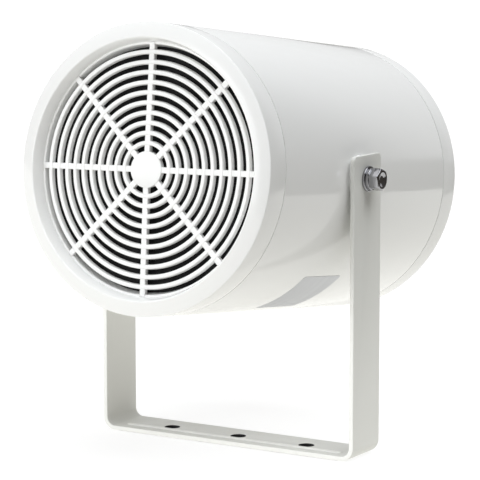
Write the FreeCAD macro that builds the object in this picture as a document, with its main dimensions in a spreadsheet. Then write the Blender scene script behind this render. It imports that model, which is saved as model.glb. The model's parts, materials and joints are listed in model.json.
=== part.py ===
import FreeCAD, Part
import os
import re
import Sketcher

Vector = FreeCAD.Vector

# Driving sizes, in millimetres and degrees
SIZES = {
    # Housing: stations are counted along its axis from the pivot
    "tube_radius": 92.5,
    "tube_wall": 4.0,
    "front_reach": 115.0,
    "rear_reach": 141.1,
    "pivot_rise": 2.0,
    "aim_tilt": 6.75,
    "fit_gap": 0.15,
    # Front ring
    "ring_depth": 18.9,
    "skirt_wall": 2.1,
    "lip_inset": 10.0,
    "lip_rise": 3.7,
    "mouth_draft": 2.6,
    "mouth_wall": 2.5,
    "ring_front_wall": 3.0,
    "ring_edge_round": 0.9,
    "lip_round": 1.0,
    # Grille
    "ledge_depth": 5.0,
    "rim_thickness": 6.2,
    "slot_inset": 1.2,
    "bar_count": 10,
    "bar_width": 2.95,
    "bar_draft": 0.2,
    "bar_set_back": 4.3,
    "bar_height": 3.0,
    "grille_crown": 1.3,
    "spoke_count": 8,
    "spoke_width": 3.8,
    "spoke_step": 0.4,
    "spoke_depth": 3.2,
    "spoke_overlap": 1.0,
    "hub_radius": 11.5,
    "hub_slot": 3.7,
    "hub_edge": 0.6,
    "grille_turn": 1.3,
    "screen_thickness": 0.6,
    # Tube spigot and baffle
    "spigot_wall": 4.1,
    "baffle_depth": 28.0,
    "baffle_thickness": 5.0,
    "baffle_land": 10.5,
    # Pivot bosses and hardware
    "boss_radius": 15.0,
    "boss_length": 15.3,
    "bolt_radius": 4.0,
    "bolt_length": 25.0,
    "bolt_flats": 13.0,
    "bolt_turn": 10.0,
    "bolt_head": 6.8,
    "bolt_chamfer": 30.0,
    "bolt_dish_radius": 4.7,
    "bolt_dish_depth": 0.9,
    "bolt_gap": 0.3,
    "thread_gap": 0.05,
    "nut_height": 6.5,
    "nut_gap": 0.2,
    "flat_washer_radius": 8.3,
    "flat_washer_thickness": 1.8,
    "spring_washer_radius": 7.3,
    "spring_washer_thickness": 2.2,
    "spring_washer_split": 1.2,
    "friction_washer_radius": 11.0,
    "friction_washer_thickness": 1.5,
    # Mounting bracket
    "strap_clearance": 2.3,
    "strap_thickness": 3.0,
    "strap_width": 36.0,
    "strap_top": 15.5,
    "strap_corner": 3.5,
    "bend_radius": 6.0,
    "pivot_height": 184.0,
    "base_hole_radius": 5.25,
    "base_hole_pitch": 53.0,
    # Rear cap
    "cap_depth": 20.0,
    "cap_wall": 3.5,
    "cap_edge_round": 4.0,
    "cap_spigot_length": 6.0,
    "cap_spigot_wall": 3.0,
    "cap_neck_slope": 3.4,
    "gasket_width": 2.0,
    "gasket_depth": 1.8,
    "gasket_inset": 2.0,
    "cap_screw_count": 4,
    "cap_screw_turn": 45.0,
    "cap_screw_inset": 12.0,
    "cap_post_radius": 5.0,
    "cap_boss_length": 20.0,
    "cap_screw_radius": 2.0,
    "cap_screw_length": 32.0,
    "cap_screw_head_radius": 4.0,
    "cap_screw_head": 3.0,
    "cap_screw_recess": 4.5,
    # Loudspeaker driver
    "driver_gasket_thickness": 2.0,
    "frame_thickness": 1.2,
    "frame_clearance": 3.65,
    "frame_wall_gap": 1.6,
    "frame_depth": 44.2,
    "frame_shelf_depth": 33.0,
    "frame_shelf_circle": 43.9,
    "frame_cup_radius": 36.0,
    "frame_floor_hole": 20.0,
    "window_count": 6,
    "window_land": 3.1,
    "window_rim": 7.4,
    "window_width": 24.0,
    "driver_screw_count": 4,
    "driver_screw_turn": 45.0,
    "driver_screw_inset": 4.9,
    "driver_screw_radius": 2.0,
    "driver_screw_length": 12.0,
    "driver_screw_head_radius": 3.8,
    "driver_screw_head": 2.6,
    "plate_radius": 42.0,
    "plate_thickness": 6.0,
    "magnet_radius": 45.0,
    "magnet_bore": 22.0,
    "magnet_thickness": 14.0,
    "pole_radius": 12.3,
    "coil_gap": 0.45,
    "former_wall": 0.3,
    "former_length": 28.0,
    "former_tail": 12.0,
    "winding_build": 0.5,
    "winding_length": 12.0,
    "winding_inset": 3.0,
    "cone_edge_gap": 8.2,
    "cone_rim": 3.2,
    "cone_depth": 30.2,
    "cone_paper": 0.8,
    "cone_neck_paper": 1.2,
    "dust_cap_radius": 20.0,
    "dust_cap_rise": 7.0,
    "dust_cap_paper": 0.5,
    "roll_radius": 5.0,
    "surround_thickness": 0.5,
    "surround_lip": 2.4,
    "spider_thickness": 0.6,
    "spider_gap": 1.0,
    "spider_lip": 1.3,
    "spider_neck": 2.0,
    "spider_wave": 1.2,
    "spider_folds": 7,
    "tag_width": 20.0,
    "tag_height": 9.0,
    "tag_thickness": 1.6,
    # Line transformer
    "transformer_station": 66.0,
    "transformer_lift": 12.5,
    "core_width": 48.0,
    "core_height": 40.0,
    "core_stack": 20.0,
    "core_limb": 8.0,
    "core_gap": 0.2,
    "winding_bulge": 7.0,
    "clamp_thickness": 1.0,
    "clamp_width": 14.0,
    "foot_spread": 30.0,
    "foot_end": 5.0,
    "foot_boss_radius": 4.5,
    "foot_screw_radius": 1.5,
    "foot_screw_length": 7.0,
    "foot_screw_head_radius": 2.8,
    "foot_screw_head": 2.2,
    # Terminal block
    "block_rise": 24.0,
    "block_width": 34.0,
    "block_height": 14.0,
    "block_depth": 12.0,
    "block_ways": 3,
    "block_pitch": 10.0,
    "block_screw_radius": 2.0,
    "block_well_depth": 5.0,
    "block_screw_height": 3.6,
    # Cable gland
    "gland_drop": 48.0,
    "gland_thread_radius": 8.0,
    "gland_flats": 22.0,
    "gland_flange": 5.0,
    "gland_flange_turn": 30.0,
    "gland_neck": 8.0,
    "gland_bore": 5.2,
    "gland_tail": 9.0,
    "gland_nut_height": 4.0,
    "gland_cap_body": 9.0,
    "gland_cap_length": 15.0,
    "gland_mouth_radius": 4.5,
    "gland_nose_radius": 7.2,
    "gland_clearance": 0.2,
    "seal_bore": 3.25,
    "seal_length": 10.0,
}

# Places worked out from the driving sizes
ring_seam = "(front_reach - ring_depth)"
skirt_bore = "(tube_radius - skirt_wall)"
ledge = "(front_reach - ledge_depth)"
rim_back = "(front_reach - ledge_depth - rim_thickness)"
spigot_end = "(front_reach - ledge_depth - rim_thickness - screen_thickness)"
spigot_bore = "(tube_radius - skirt_wall - fit_gap - spigot_wall)"
lip_radius = "(tube_radius - lip_inset)"
mouth_radius = f"({lip_radius} - mouth_draft)"
slot_circle = f"({mouth_radius} - slot_inset)"
bar_pitch = f"(({slot_circle} - hub_radius - hub_slot)/bar_count)"
baffle_front = "(front_reach - baffle_depth)"
tube_bore = "(tube_radius - tube_wall)"
rear_seam = "(cap_depth - rear_reach)"
cap_inner_face = "(cap_wall - rear_reach)"
cap_spigot_end = "(cap_depth - rear_reach + cap_spigot_length)"
cap_spigot_radius = "(tube_radius - tube_wall - fit_gap)"
cap_screw_circle = "(tube_radius - cap_screw_inset)"
strap_gap = "(tube_radius + strap_clearance)"
strap_outer = f"({strap_gap} + strap_thickness)"
boss_root = f"({strap_gap} - friction_washer_thickness - boss_length)"
head_seat = "(flat_washer_thickness + spring_washer_thickness)"
bolt_clear = "(bolt_radius + bolt_gap)"
frame_front = f"({baffle_front} + driver_gasket_thickness + frame_thickness)"
frame_shelf = f"({frame_front} - frame_shelf_depth)"
frame_radius = f"({spigot_bore} - frame_clearance)"
driver_screw_circle = f"({frame_radius} - driver_screw_inset)"
baffle_opening = f"({frame_radius} - baffle_land)"
frame_wall_circle = f"({baffle_opening} - frame_wall_gap)"
cone_radius = f"({frame_wall_circle} - cone_edge_gap)"
frame_floor = f"({frame_front} - frame_depth)"
magnet_front = f"({frame_floor} - plate_thickness)"
magnet_back = f"({frame_floor} - plate_thickness - magnet_thickness)"
former_bore = "(pole_radius + coil_gap)"
former_outer = "(pole_radius + coil_gap + former_wall)"
gap_bore = "(pole_radius + 2*coil_gap + former_wall + winding_build)"
former_back = f"({frame_floor} - former_tail)"
cone_neck = f"({frame_front} - cone_depth)"
roll_circle = f"({cone_radius} + roll_radius - surround_thickness)"
transformer_seat = f"({tube_bore} - transformer_lift)"

doc = FreeCAD.newDocument("sound_projector")
sizes = doc.addObject("Spreadsheet::Sheet", "sizes")
for row, (alias, number) in enumerate(SIZES.items(), start=1):
    sizes.set(f"A{row}", alias)
    sizes.set(f"B{row}", str(number))
    sizes.setAlias(f"B{row}", alias)
doc.recompute()

sub_parts = []


def on_sheet(words):
    """Point each size named in an expression at its cell."""
    return re.sub(r"\b([a-z]\w*)\b(?!\()", r"sizes.\1", words)


def value(words):
    """Work an expression out with the sheet's present numbers."""
    return float(sizes.evalExpression(on_sheet(words)))


def bind(thing, path, words):
    thing.setExpression(path, on_sheet(words))


def sub_part(label):
    body = doc.addObject("PartDesign::Body", label)
    body.Label = label
    sub_parts.append(body)
    return body


def origin_feature(body, role):
    return next(f for f in body.Origin.OriginFeatures if f.Role == role)


def sketch_on(body, name, role, offset="0", turn="0"):
    """A sketch on one of the body's origin planes, moved along and turned about its normal."""
    sketch = body.newObject("Sketcher::SketchObject", name)
    sketch.AttachmentSupport = [(origin_feature(body, role), "")]
    sketch.MapMode = "FlatFace"
    sketch.AttachmentOffset = FreeCAD.Placement(Vector(), FreeCAD.Rotation(Vector(0, 0, 1), 1))
    bind(sketch, ".AttachmentOffset.Rotation.Angle", turn)
    bind(sketch, ".AttachmentOffset.Base.z", offset)
    return sketch


def pin_point(sketch, geometry, end, x, y):
    """Hold a point of the sketch at two expressions."""
    for kind, words in (("DistanceX", x), ("DistanceY", y)):
        number = sketch.addConstraint(Sketcher.Constraint(kind, geometry, end, value(words)))
        bind(sketch, f"Constraints[{number}]", words)


def outline(sketch, points):
    """A closed outline of straight lines through points given as expressions."""
    first = sketch.GeometryCount
    count = len(points)
    corners = [Vector(value(x), value(y), 0) for x, y in points]
    for i in range(count):
        sketch.addGeometry(Part.LineSegment(corners[i], corners[(i + 1) % count]))
    for i in range(count):
        after = first + (i + 1) % count
        sketch.addConstraint(Sketcher.Constraint("Coincident", first + i, 2, after, 1))
    for i, (x, y) in enumerate(points):
        pin_point(sketch, first + i, 1, x, y)


def rectangle(sketch, x0, y0, x1, y1):
    outline(sketch, [(x0, y0), (x1, y0), (x1, y1), (x0, y1)])


def circle(sketch, x, y, radius):
    middle = Vector(value(x), value(y), 0)
    number = sketch.addGeometry(Part.Circle(middle, Vector(0, 0, 1), value(radius)))
    pin_point(sketch, number, 3, x, y)
    rule = sketch.addConstraint(Sketcher.Constraint("Radius", number, value(radius)))
    bind(sketch, f"Constraints[{rule}]", radius)


def hexagon(sketch, x, y, flats, turn="0"):
    points = []
    for k in range(6):
        corner = f"({turn} + {60 * k})"
        points.append((f"{x} + {flats}/sqrt(3)*cos({corner})", f"{y} + {flats}/sqrt(3)*sin({corner})"))
    outline(sketch, points)


def recompute_cut(body, feature, before):
    """Recompute a cut and make sure that it took material away."""
    body.Tip = feature
    doc.recompute()
    if not feature.Shape.Volume < before - 1e-6:
        raise RuntimeError(f"{feature.Name} cuts nothing")
    return feature


def revolve(body, name, *outlines):
    """Turn outlines of (radius, station) about the body's Z axis."""
    sketch = sketch_on(body, name + "_section", "XZ_Plane")
    for points in outlines:
        outline(sketch, points)
    feature = body.newObject("PartDesign::Revolution", name)
    feature.Profile = sketch
    feature.ReferenceAxis = (sketch, ["V_Axis"])
    feature.Angle = 360
    doc.recompute()
    return feature


def groove(body, name, *outlines):
    before = body.Shape.Volume
    sketch = sketch_on(body, name + "_section", "XZ_Plane")
    for points in outlines:
        outline(sketch, points)
    feature = body.newObject("PartDesign::Groove", name)
    feature.Profile = sketch
    feature.ReferenceAxis = (sketch, ["V_Axis"])
    feature.Angle = 360
    return recompute_cut(body, feature, before)


def pad(body, name, sketch, length, both_ways=False, backwards=False):
    feature = body.newObject("PartDesign::Pad", name)
    feature.Profile = sketch
    bind(feature, "Length", length)
    feature.Midplane = both_ways
    feature.Reversed = backwards
    doc.recompute()
    return feature


def pocket(body, name, sketch, length=None, both_ways=False, backwards=False):
    """Cut a sketch in to a length, or right through where none is given."""
    before = body.Shape.Volume
    feature = body.newObject("PartDesign::Pocket", name)
    feature.Profile = sketch
    if length is None:
        feature.Type = "ThroughAll"
    else:
        bind(feature, "Length", length)
    feature.Midplane = both_ways
    feature.Reversed = backwards
    return recompute_cut(body, feature, before)


def polar_pattern(body, name, features, count):
    pattern = body.newObject("PartDesign::PolarPattern", name)
    pattern.Originals = features
    pattern.Axis = (origin_feature(body, "Z_Axis"), [""])
    pattern.Angle = 360
    bind(pattern, "Occurrences", count)
    body.Tip = pattern
    doc.recompute()
    return pattern


def mirror(body, name, features, role):
    feature = body.newObject("PartDesign::Mirrored", name)
    feature.Originals = features
    feature.MirrorPlane = (origin_feature(body, role), [""])
    body.Tip = feature
    doc.recompute()
    return feature


def round_edges(body, name, radius, wanted):
    """Fillet the edges of the body that the test picks."""
    base = body.Tip
    names = [f"Edge{i}" for i, edge in enumerate(base.Shape.Edges, start=1) if wanted(edge)]
    feature = body.newObject("PartDesign::Fillet", name)
    feature.Base = (base, names)
    bind(feature, "Radius", radius)
    doc.recompute()
    return feature


def near(a, b):
    return abs(a - b) < 1e-4


def ring_edge(radius, station):
    """A test for the round edge of that radius at that station on the Z axis."""
    size, height = value(radius), value(station)

    def wanted(edge):
        box = edge.BoundBox
        return near(box.XMax, size) and near(box.ZMin, height) and near(box.ZMax, height)

    return wanted


def straight_edge(direction, **place):
    """A test for straight edges along an axis that pass the given absolute places."""
    wanted_place = {axis: value(words) for axis, words in place.items()}

    def wanted(edge):
        if edge.Curve.TypeId != "Part::GeomLine":
            return False
        if not near(abs(edge.tangentAt(edge.FirstParameter).dot(direction)), 1):
            return False
        middle = edge.CenterOfMass
        return all(near(abs(getattr(middle, axis)), at) for axis, at in wanted_place.items())

    return wanted


def on_housing(thing, x="0", y="0", z="0"):
    """Set a piece into the tilted housing, whose axis runs forward along the piece's own Z."""
    thing.Placement = FreeCAD.Placement(Vector(), FreeCAD.Rotation(Vector(1, 0, 0), 90))
    rise = f"({y} - pivot_rise)"
    bind(thing, ".Placement.Rotation.Angle", "90 - aim_tilt")
    bind(thing, ".Placement.Base.x", x)
    bind(thing, ".Placement.Base.y", f"{rise}*sin(aim_tilt) - ({z})*cos(aim_tilt)")
    bind(thing, ".Placement.Base.z", f"pivot_height + {rise}*cos(aim_tilt) + ({z})*sin(aim_tilt)")


def at_pivot(thing, side):
    """Set a piece of pivot hardware on its strap, with its own Z pointing outward."""
    thing.Placement = FreeCAD.Placement(Vector(), FreeCAD.Rotation(Vector(0, 1, 0), 90 * side))
    bind(thing, ".Placement.Base.x", f"{side}*{strap_outer}")
    bind(thing, ".Placement.Base.z", "pivot_height")


def ring(label, inner, outer, low, high):
    """A plain ring, such as a washer, a plate or a gasket."""
    body = sub_part(label)
    revolve(body, label + "_ring", [(inner, low), (outer, low), (outer, high), (inner, high)])
    return body


def circles(body, name, role, offset, places, radius):
    """A sketch of like circles at their places."""
    sketch = sketch_on(body, name, role, offset)
    for x, y in places:
        circle(sketch, x, y, radius)
    return sketch


def screw_group(label, size, role, seat, places, head_first):
    """Pan head screws with their heads seated on one plane; size is how their sizes' names begin."""
    body = sub_part(label)
    shanks = circles(body, label + "_shank_circles", role, seat, places, f"{size}_radius")
    pad(body, label + "_shanks", shanks, f"{size}_length", backwards=head_first)
    heads = circles(body, label + "_head_circles", role, seat, places, f"{size}_head_radius")
    pad(body, label + "_heads", heads, f"{size}_head", backwards=not head_first)
    return body


def screw_places(size, radius):
    """Places evenly round the Z axis; size is how the names of their count and turn begin."""
    places = []
    for k in range(int(value(f"{size}_count"))):
        angle = f"({size}_turn + {k}*360/{size}_count)"
        places.append((f"{radius}*cos({angle})", f"{radius}*sin({angle})"))
    return places


# Mounting bracket: one steel strip, folded to a U
def make_mounting_bracket():
    body = sub_part("mounting_bracket")
    top = "(pivot_height + strap_top)"
    side = sketch_on(body, "strap_side", "XZ_Plane")
    outline(side, [
        (f"-{strap_outer}", "0"), (strap_outer, "0"), (strap_outer, top), (strap_gap, top),
        (strap_gap, "strap_thickness"), (f"-{strap_gap}", "strap_thickness"),
        (f"-{strap_gap}", top), (f"-{strap_outer}", top),
    ])
    pad(body, "strap", side, "strap_width", both_ways=True)
    along_y = Vector(0, 1, 0)
    along_x = Vector(1, 0, 0)
    outer_corner = straight_edge(along_y, x=strap_outer, z="0")
    inner_corner = straight_edge(along_y, x=strap_gap, z="strap_thickness")
    top_corner = straight_edge(along_x, y="strap_width/2", z=top)
    round_edges(body, "outer_bends", "bend_radius + strap_thickness", outer_corner)
    round_edges(body, "inner_bends", "bend_radius", inner_corner)
    round_edges(body, "strap_corners", "strap_corner", top_corner)
    pivots = circles(body, "pivot_hole_circle", "YZ_Plane", "0", [("0", "pivot_height")], bolt_clear)
    pocket(body, "pivot_holes", pivots, both_ways=True)
    places = [("-base_hole_pitch", "0"), ("0", "0"), ("base_hole_pitch", "0")]
    holes = circles(body, "base_hole_circles", "XY_Plane", "0", places, "base_hole_radius")
    pocket(body, "base_holes", holes, both_ways=True)


# Front ring: a hollow moulding with a sloped face, a drafted mouth and a skirt over the tube's spigot
def make_front_ring():
    body = sub_part("front_ring")
    lip = "(front_reach + lip_rise)"
    roof = "(front_reach - ring_front_wall)"
    revolve(body, "ring_shell", [
        ("tube_radius", "front_reach"), (lip_radius, lip), (mouth_radius, ledge),
        (f"{mouth_radius} + mouth_wall", ledge), (f"{lip_radius} + mouth_wall", f"{lip} - ring_front_wall"),
        (skirt_bore, roof), (skirt_bore, ring_seam), ("tube_radius", ring_seam),
    ])
    round_edges(body, "outer_edge", "ring_edge_round", ring_edge("tube_radius", "front_reach"))
    round_edges(body, "lip_edge", "lip_round", ring_edge(lip_radius, lip))
    on_housing(body)


# Grille: spokes, hub, concentric bars and a rim that the ring and the tube clamp, all slightly crowned
def crowned(radius, drop="0"):
    """The station of the crowned front at a radius, or of a level that lies a drop behind it."""
    return f"(front_reach - bar_set_back + grille_crown*(1 - ({radius})/{slot_circle}) - ({drop}))"


def make_grille():
    body = sub_part("grille")
    rim_edge = f"({skirt_bore} - fit_gap)"
    spoke_back = "spoke_step + spoke_depth"
    spoke_foot = crowned(rim_edge, spoke_back)
    spoke = sketch_on(body, "spoke_outline", "XY_Plane", spoke_foot, "grille_turn")
    rectangle(spoke, "0", "-spoke_width/2", f"{slot_circle} + spoke_overlap", "spoke_width/2")
    first = pad(body, "spoke", spoke, f"{crowned('0', 'spoke_step')} - {spoke_foot}")
    polar_pattern(body, "spokes", [first], "spoke_count")
    spoke_top = crowned("0", "spoke_step")
    above = [("0", spoke_top), (rim_edge, spoke_top), (rim_edge, crowned(rim_edge, "spoke_step"))]
    below = [("0", crowned("0", spoke_back)), ("0", spoke_foot), (rim_edge, spoke_foot)]
    groove(body, "spoke_slopes", above, below)
    hub_back = crowned("0", spoke_back)
    hub_front = crowned("0")
    sections = [
        [("0", hub_back), ("hub_radius", hub_back), ("hub_radius", f"{hub_front} - hub_edge"),
         ("hub_radius - hub_edge", hub_front), ("0", hub_front)],
        [(slot_circle, rim_back), (rim_edge, rim_back), (rim_edge, ledge), (slot_circle, ledge)],
    ]
    for k in range(int(value("bar_count"))):
        inner = f"({slot_circle} - {k + 1}*{bar_pitch})"
        outer = f"({inner} + bar_width)"
        middle = f"({inner} + bar_width/2)"
        sections.append([
            (inner, crowned(middle, "bar_height")), (outer, crowned(middle, "bar_height")),
            (f"{outer} - bar_draft", crowned(middle)), (f"{inner} + bar_draft", crowned(middle)),
        ])
    revolve(body, "hub_rim_and_bars", *sections)
    on_housing(body)


def make_dust_screen():
    body = ring("dust_screen", "0", f"{skirt_bore} - 2*fit_gap", spigot_end, rim_back)
    on_housing(body)


# Housing tube: spigot, baffle, pivot bosses with nut pockets, rear bosses and transformer bosses
def make_housing_tube():
    body = sub_part("housing_tube")
    spigot_radius = f"({skirt_bore} - fit_gap)"
    revolve(body, "tube_shell", [
        ("tube_radius", rear_seam), ("tube_radius", ring_seam), (spigot_radius, ring_seam),
        (spigot_radius, spigot_end), (spigot_bore, spigot_end), (spigot_bore, baffle_front),
        (baffle_opening, baffle_front), (baffle_opening, f"{baffle_front} - baffle_thickness"),
        (tube_bore, f"{baffle_front} - baffle_thickness"), (tube_bore, rear_seam),
    ])
    boss = sketch_on(body, "pivot_boss_circle", "YZ_Plane", boss_root)
    circle(boss, "pivot_rise", "0", "boss_radius")
    right = pad(body, "pivot_boss", boss, "boss_length")
    mirror(body, "pivot_bosses", [right], "YZ_Plane")
    bore = circles(body, "pivot_bore_circle", "YZ_Plane", "0", [("pivot_rise", "0")], bolt_clear)
    pocket(body, "pivot_bores", bore, both_ways=True)
    seat = sketch_on(body, "nut_pocket_outline", "YZ_Plane")
    hexagon(seat, "pivot_rise", "0", "(bolt_flats + 2*nut_gap)")
    pocket(body, "nut_pockets", seat, f"2*({boss_root} + nut_height)", both_ways=True)
    web = sketch_on(body, "rear_web_outline", "XY_Plane", cap_spigot_end, "cap_screw_turn")
    rectangle(web, cap_screw_circle, "-cap_post_radius", f"{tube_bore} + tube_wall/2", "cap_post_radius")
    rear_web = pad(body, "rear_web", web, "cap_boss_length")
    post = sketch_on(body, "rear_boss_circle", "XY_Plane", cap_spigot_end, "cap_screw_turn")
    circle(post, cap_screw_circle, "0", "cap_post_radius")
    rear_boss = pad(body, "rear_boss", post, "cap_boss_length")
    polar_pattern(body, "rear_bosses", [rear_web, rear_boss], "cap_screw_count")
    rear_pilots = circles(body, "rear_pilot_circles", "XY_Plane", cap_spigot_end,
                          screw_places("cap_screw", cap_screw_circle), "cap_screw_radius + thread_gap")
    pocket(body, "rear_pilots", rear_pilots, "cap_boss_length", backwards=True)
    driver_places = screw_places("driver_screw", driver_screw_circle)
    baffle_pilots = circles(body, "baffle_pilot_circles", "XY_Plane", baffle_front,
                            driver_places, "driver_screw_radius + thread_gap")
    pocket(body, "baffle_pilots", baffle_pilots, "baffle_thickness")
    places = [("-foot_spread", "-transformer_station"), ("foot_spread", "-transformer_station")]
    feet = circles(body, "foot_boss_circles", "XZ_Plane", transformer_seat, places, "foot_boss_radius")
    mid_wall_drop = "sqrt((tube_radius - tube_wall/2)^2 - foot_spread^2)"
    pad(body, "foot_bosses", feet, f"{mid_wall_drop} - {transformer_seat}")
    foot_pilots = circles(body, "foot_pilot_circles", "XZ_Plane", transformer_seat,
                          places, "foot_screw_radius + thread_gap")
    pocket(body, "foot_pilots", foot_pilots, "foot_screw_length", backwards=True)
    on_housing(body)


# Rear cap: a cup with a sealed spigot, screw posts and the gland's hole
def make_rear_cap():
    body = sub_part("rear_cap")
    groove_near = f"({rear_seam} + gasket_inset)"
    groove_far = f"({rear_seam} + gasket_inset + gasket_width)"
    groove_floor = f"({cap_spigot_radius} - gasket_depth)"
    spigot_inner = f"({cap_spigot_radius} - cap_spigot_wall)"
    cup_radius = "(tube_radius - cap_wall)"
    revolve(body, "cup", [
        ("0", "-rear_reach"), ("tube_radius", "-rear_reach"), ("tube_radius", rear_seam),
        (cap_spigot_radius, rear_seam), (cap_spigot_radius, groove_near), (groove_floor, groove_near),
        (groove_floor, groove_far), (cap_spigot_radius, groove_far), (cap_spigot_radius, cap_spigot_end),
        (spigot_inner, cap_spigot_end), (spigot_inner, f"{rear_seam} - cap_neck_slope/2"),
        (cup_radius, f"{rear_seam} - cap_neck_slope/2 - cap_neck_slope"), (cup_radius, cap_inner_face),
        ("0", cap_inner_face),
    ])
    round_edges(body, "rear_edge", "cap_edge_round", ring_edge("tube_radius", "-rear_reach"))
    places = screw_places("cap_screw", cap_screw_circle)
    posts = circles(body, "post_circles", "XY_Plane", cap_inner_face, places, "cap_post_radius")
    pad(body, "posts", posts, f"{cap_spigot_end} - {cap_inner_face}")
    shank_clear = "cap_screw_radius + thread_gap"
    head_clear = "cap_screw_head_radius + bolt_gap"
    shanks = circles(body, "shank_circles", "XY_Plane", "-rear_reach", places, shank_clear)
    pocket(body, "shank_holes", shanks, backwards=True)
    recesses = circles(body, "recess_circles", "XY_Plane", "-rear_reach", places, head_clear)
    pocket(body, "head_recesses", recesses, "cap_screw_recess", backwards=True)
    hole = sketch_on(body, "gland_hole_circle", "XY_Plane", "-rear_reach")
    circle(hole, "0", "-gland_drop", "gland_thread_radius + gland_clearance")
    pocket(body, "gland_hole", hole, "cap_wall", backwards=True)
    on_housing(body)


def make_rear_cap_fittings():
    start = f"({rear_seam} + gasket_inset)"
    inner = f"({cap_spigot_radius} - gasket_depth)"
    gasket = ring("rear_cap_gasket", inner, tube_bore, start, f"{start} + gasket_width")
    seat = "(cap_screw_recess - rear_reach)"
    places = screw_places("cap_screw", cap_screw_circle)
    screws = screw_group("rear_cap_screws", "cap_screw", "XY_Plane", seat, places, False)
    for piece in (gasket, screws):
        on_housing(piece)


# Pivot hardware, the same on both straps
def make_pivot_hardware(name, side):
    bolt = sub_part(f"pivot_bolt_{name}")
    head_top = f"({head_seat} + bolt_head)"
    head = sketch_on(bolt, "head_outline", "XY_Plane", head_seat)
    hexagon(head, "0", "0", "bolt_flats", f"{side}*bolt_turn")
    pad(bolt, "head", head, "bolt_head")
    dish_floor = f"({head_top} - bolt_dish_depth)"
    corner = "(bolt_flats/sqrt(3))"
    clear_of_corner = f"({corner} + bolt_gap)"
    chamfer_foot = f"({head_top} - ({corner} - bolt_flats/2)*tan(bolt_chamfer))"
    dish = [("0", dish_floor), ("bolt_dish_radius", dish_floor), ("bolt_dish_radius", head_top),
            ("0", head_top)]
    chamfer = [("bolt_flats/2", head_top), (corner, chamfer_foot), (clear_of_corner, chamfer_foot),
               (clear_of_corner, head_top)]
    groove(bolt, "head_form", dish, chamfer)
    shank = sketch_on(bolt, "shank_circle", "XY_Plane", head_seat)
    circle(shank, "0", "0", "bolt_radius")
    pad(bolt, "shank", shank, "bolt_length", backwards=True)
    flat = ring(f"flat_washer_{name}", bolt_clear, "flat_washer_radius", "0", "flat_washer_thickness")
    spring = ring(f"spring_washer_{name}", bolt_clear, "spring_washer_radius",
                  "flat_washer_thickness", head_seat)
    split = sketch_on(spring, "split_outline", "XY_Plane", head_seat)
    split_end = "spring_washer_radius + bolt_gap"
    rectangle(split, "0", "-spring_washer_split/2", split_end, "spring_washer_split/2")
    pocket(spring, "split", split, "spring_washer_thickness")
    rubber = ring(f"friction_washer_{name}", bolt_clear, "friction_washer_radius",
                  "-strap_thickness - friction_washer_thickness", "-strap_thickness")
    nut = sub_part(f"pivot_nut_{name}")
    nut_foot = sketch_on(nut, "nut_outline", "XY_Plane", f"{boss_root} - {strap_outer}")
    hexagon(nut_foot, "0", "0", "bolt_flats", f"{-side}*aim_tilt")
    circle(nut_foot, "0", "0", "bolt_radius + thread_gap")
    pad(nut, "nut", nut_foot, "nut_height")
    for piece in (bolt, flat, spring, rubber, nut):
        at_pivot(piece, side)


# Loudspeaker driver: pressed frame, motor, coil, cone and its two suspensions
def make_driver_frame():
    frame_back = f"({frame_front} - frame_thickness)"
    gasket = ring("driver_gasket", baffle_opening, frame_radius, baffle_front, frame_back)
    frame = sub_part("driver_basket")
    shelf_back = f"({frame_shelf} - frame_thickness)"
    floor_front = f"({frame_floor} + frame_thickness)"
    cup_inside = "(frame_cup_radius - frame_thickness)"
    revolve(frame, "pressed_frame", [
        (frame_radius, frame_front), (frame_radius, frame_back), (frame_wall_circle, frame_back),
        ("frame_shelf_circle", shelf_back), ("frame_cup_radius", shelf_back),
        ("frame_cup_radius", frame_floor), ("frame_floor_hole", frame_floor),
        ("frame_floor_hole", floor_front), (cup_inside, floor_front), (cup_inside, frame_shelf),
        ("frame_shelf_circle - frame_thickness/2", frame_shelf),
        (f"{frame_wall_circle} - frame_thickness/2", frame_front),
    ])
    opening = sketch_on(frame, "window_outline", "XY_Plane", frame_back)
    window_inner = "(frame_shelf_circle + window_land)"
    window_outer = f"({frame_wall_circle} - window_rim)"
    rectangle(opening, window_inner, "-window_width/2", window_outer, "window_width/2")
    window = pocket(frame, "window", opening, f"{frame_back} - {shelf_back}")
    polar_pattern(frame, "windows", [window], "window_count")
    places = screw_places("driver_screw", driver_screw_circle)
    hole_radius = "driver_screw_radius + bolt_gap"
    gasket_holes = circles(gasket, "gasket_hole_circles", "XY_Plane", frame_back, places, hole_radius)
    pocket(gasket, "gasket_holes", gasket_holes, "driver_gasket_thickness")
    frame_holes = circles(frame, "frame_hole_circles", "XY_Plane", frame_front, places, hole_radius)
    pocket(frame, "frame_holes", frame_holes, "frame_thickness")
    screws = screw_group("driver_screws", "driver_screw", "XY_Plane", frame_front, places, True)
    tags = sub_part("tag_strip")
    strip = sketch_on(tags, "strip_outline", "XY_Plane", frame_floor)
    rectangle(strip, "frame_cup_radius", "-tag_width/2", "frame_cup_radius + tag_thickness", "tag_width/2")
    pad(tags, "strip", strip, "tag_height")
    for piece in (gasket, frame, screws, tags):
        on_housing(piece)


def make_driver_motor():
    plate = ring("top_plate", gap_bore, "plate_radius", magnet_front, frame_floor)
    magnet = ring("magnet", "magnet_bore", "magnet_radius", magnet_back, magnet_front)
    pole = sub_part("pole_plate")
    foot = f"({magnet_back} - plate_thickness)"
    revolve(pole, "turned_pole", [
        ("0", foot), ("plate_radius", foot), ("plate_radius", magnet_back), ("pole_radius", magnet_back),
        ("pole_radius", frame_floor), ("0", frame_floor),
    ])
    for piece in (plate, magnet, pole):
        on_housing(piece)


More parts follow.
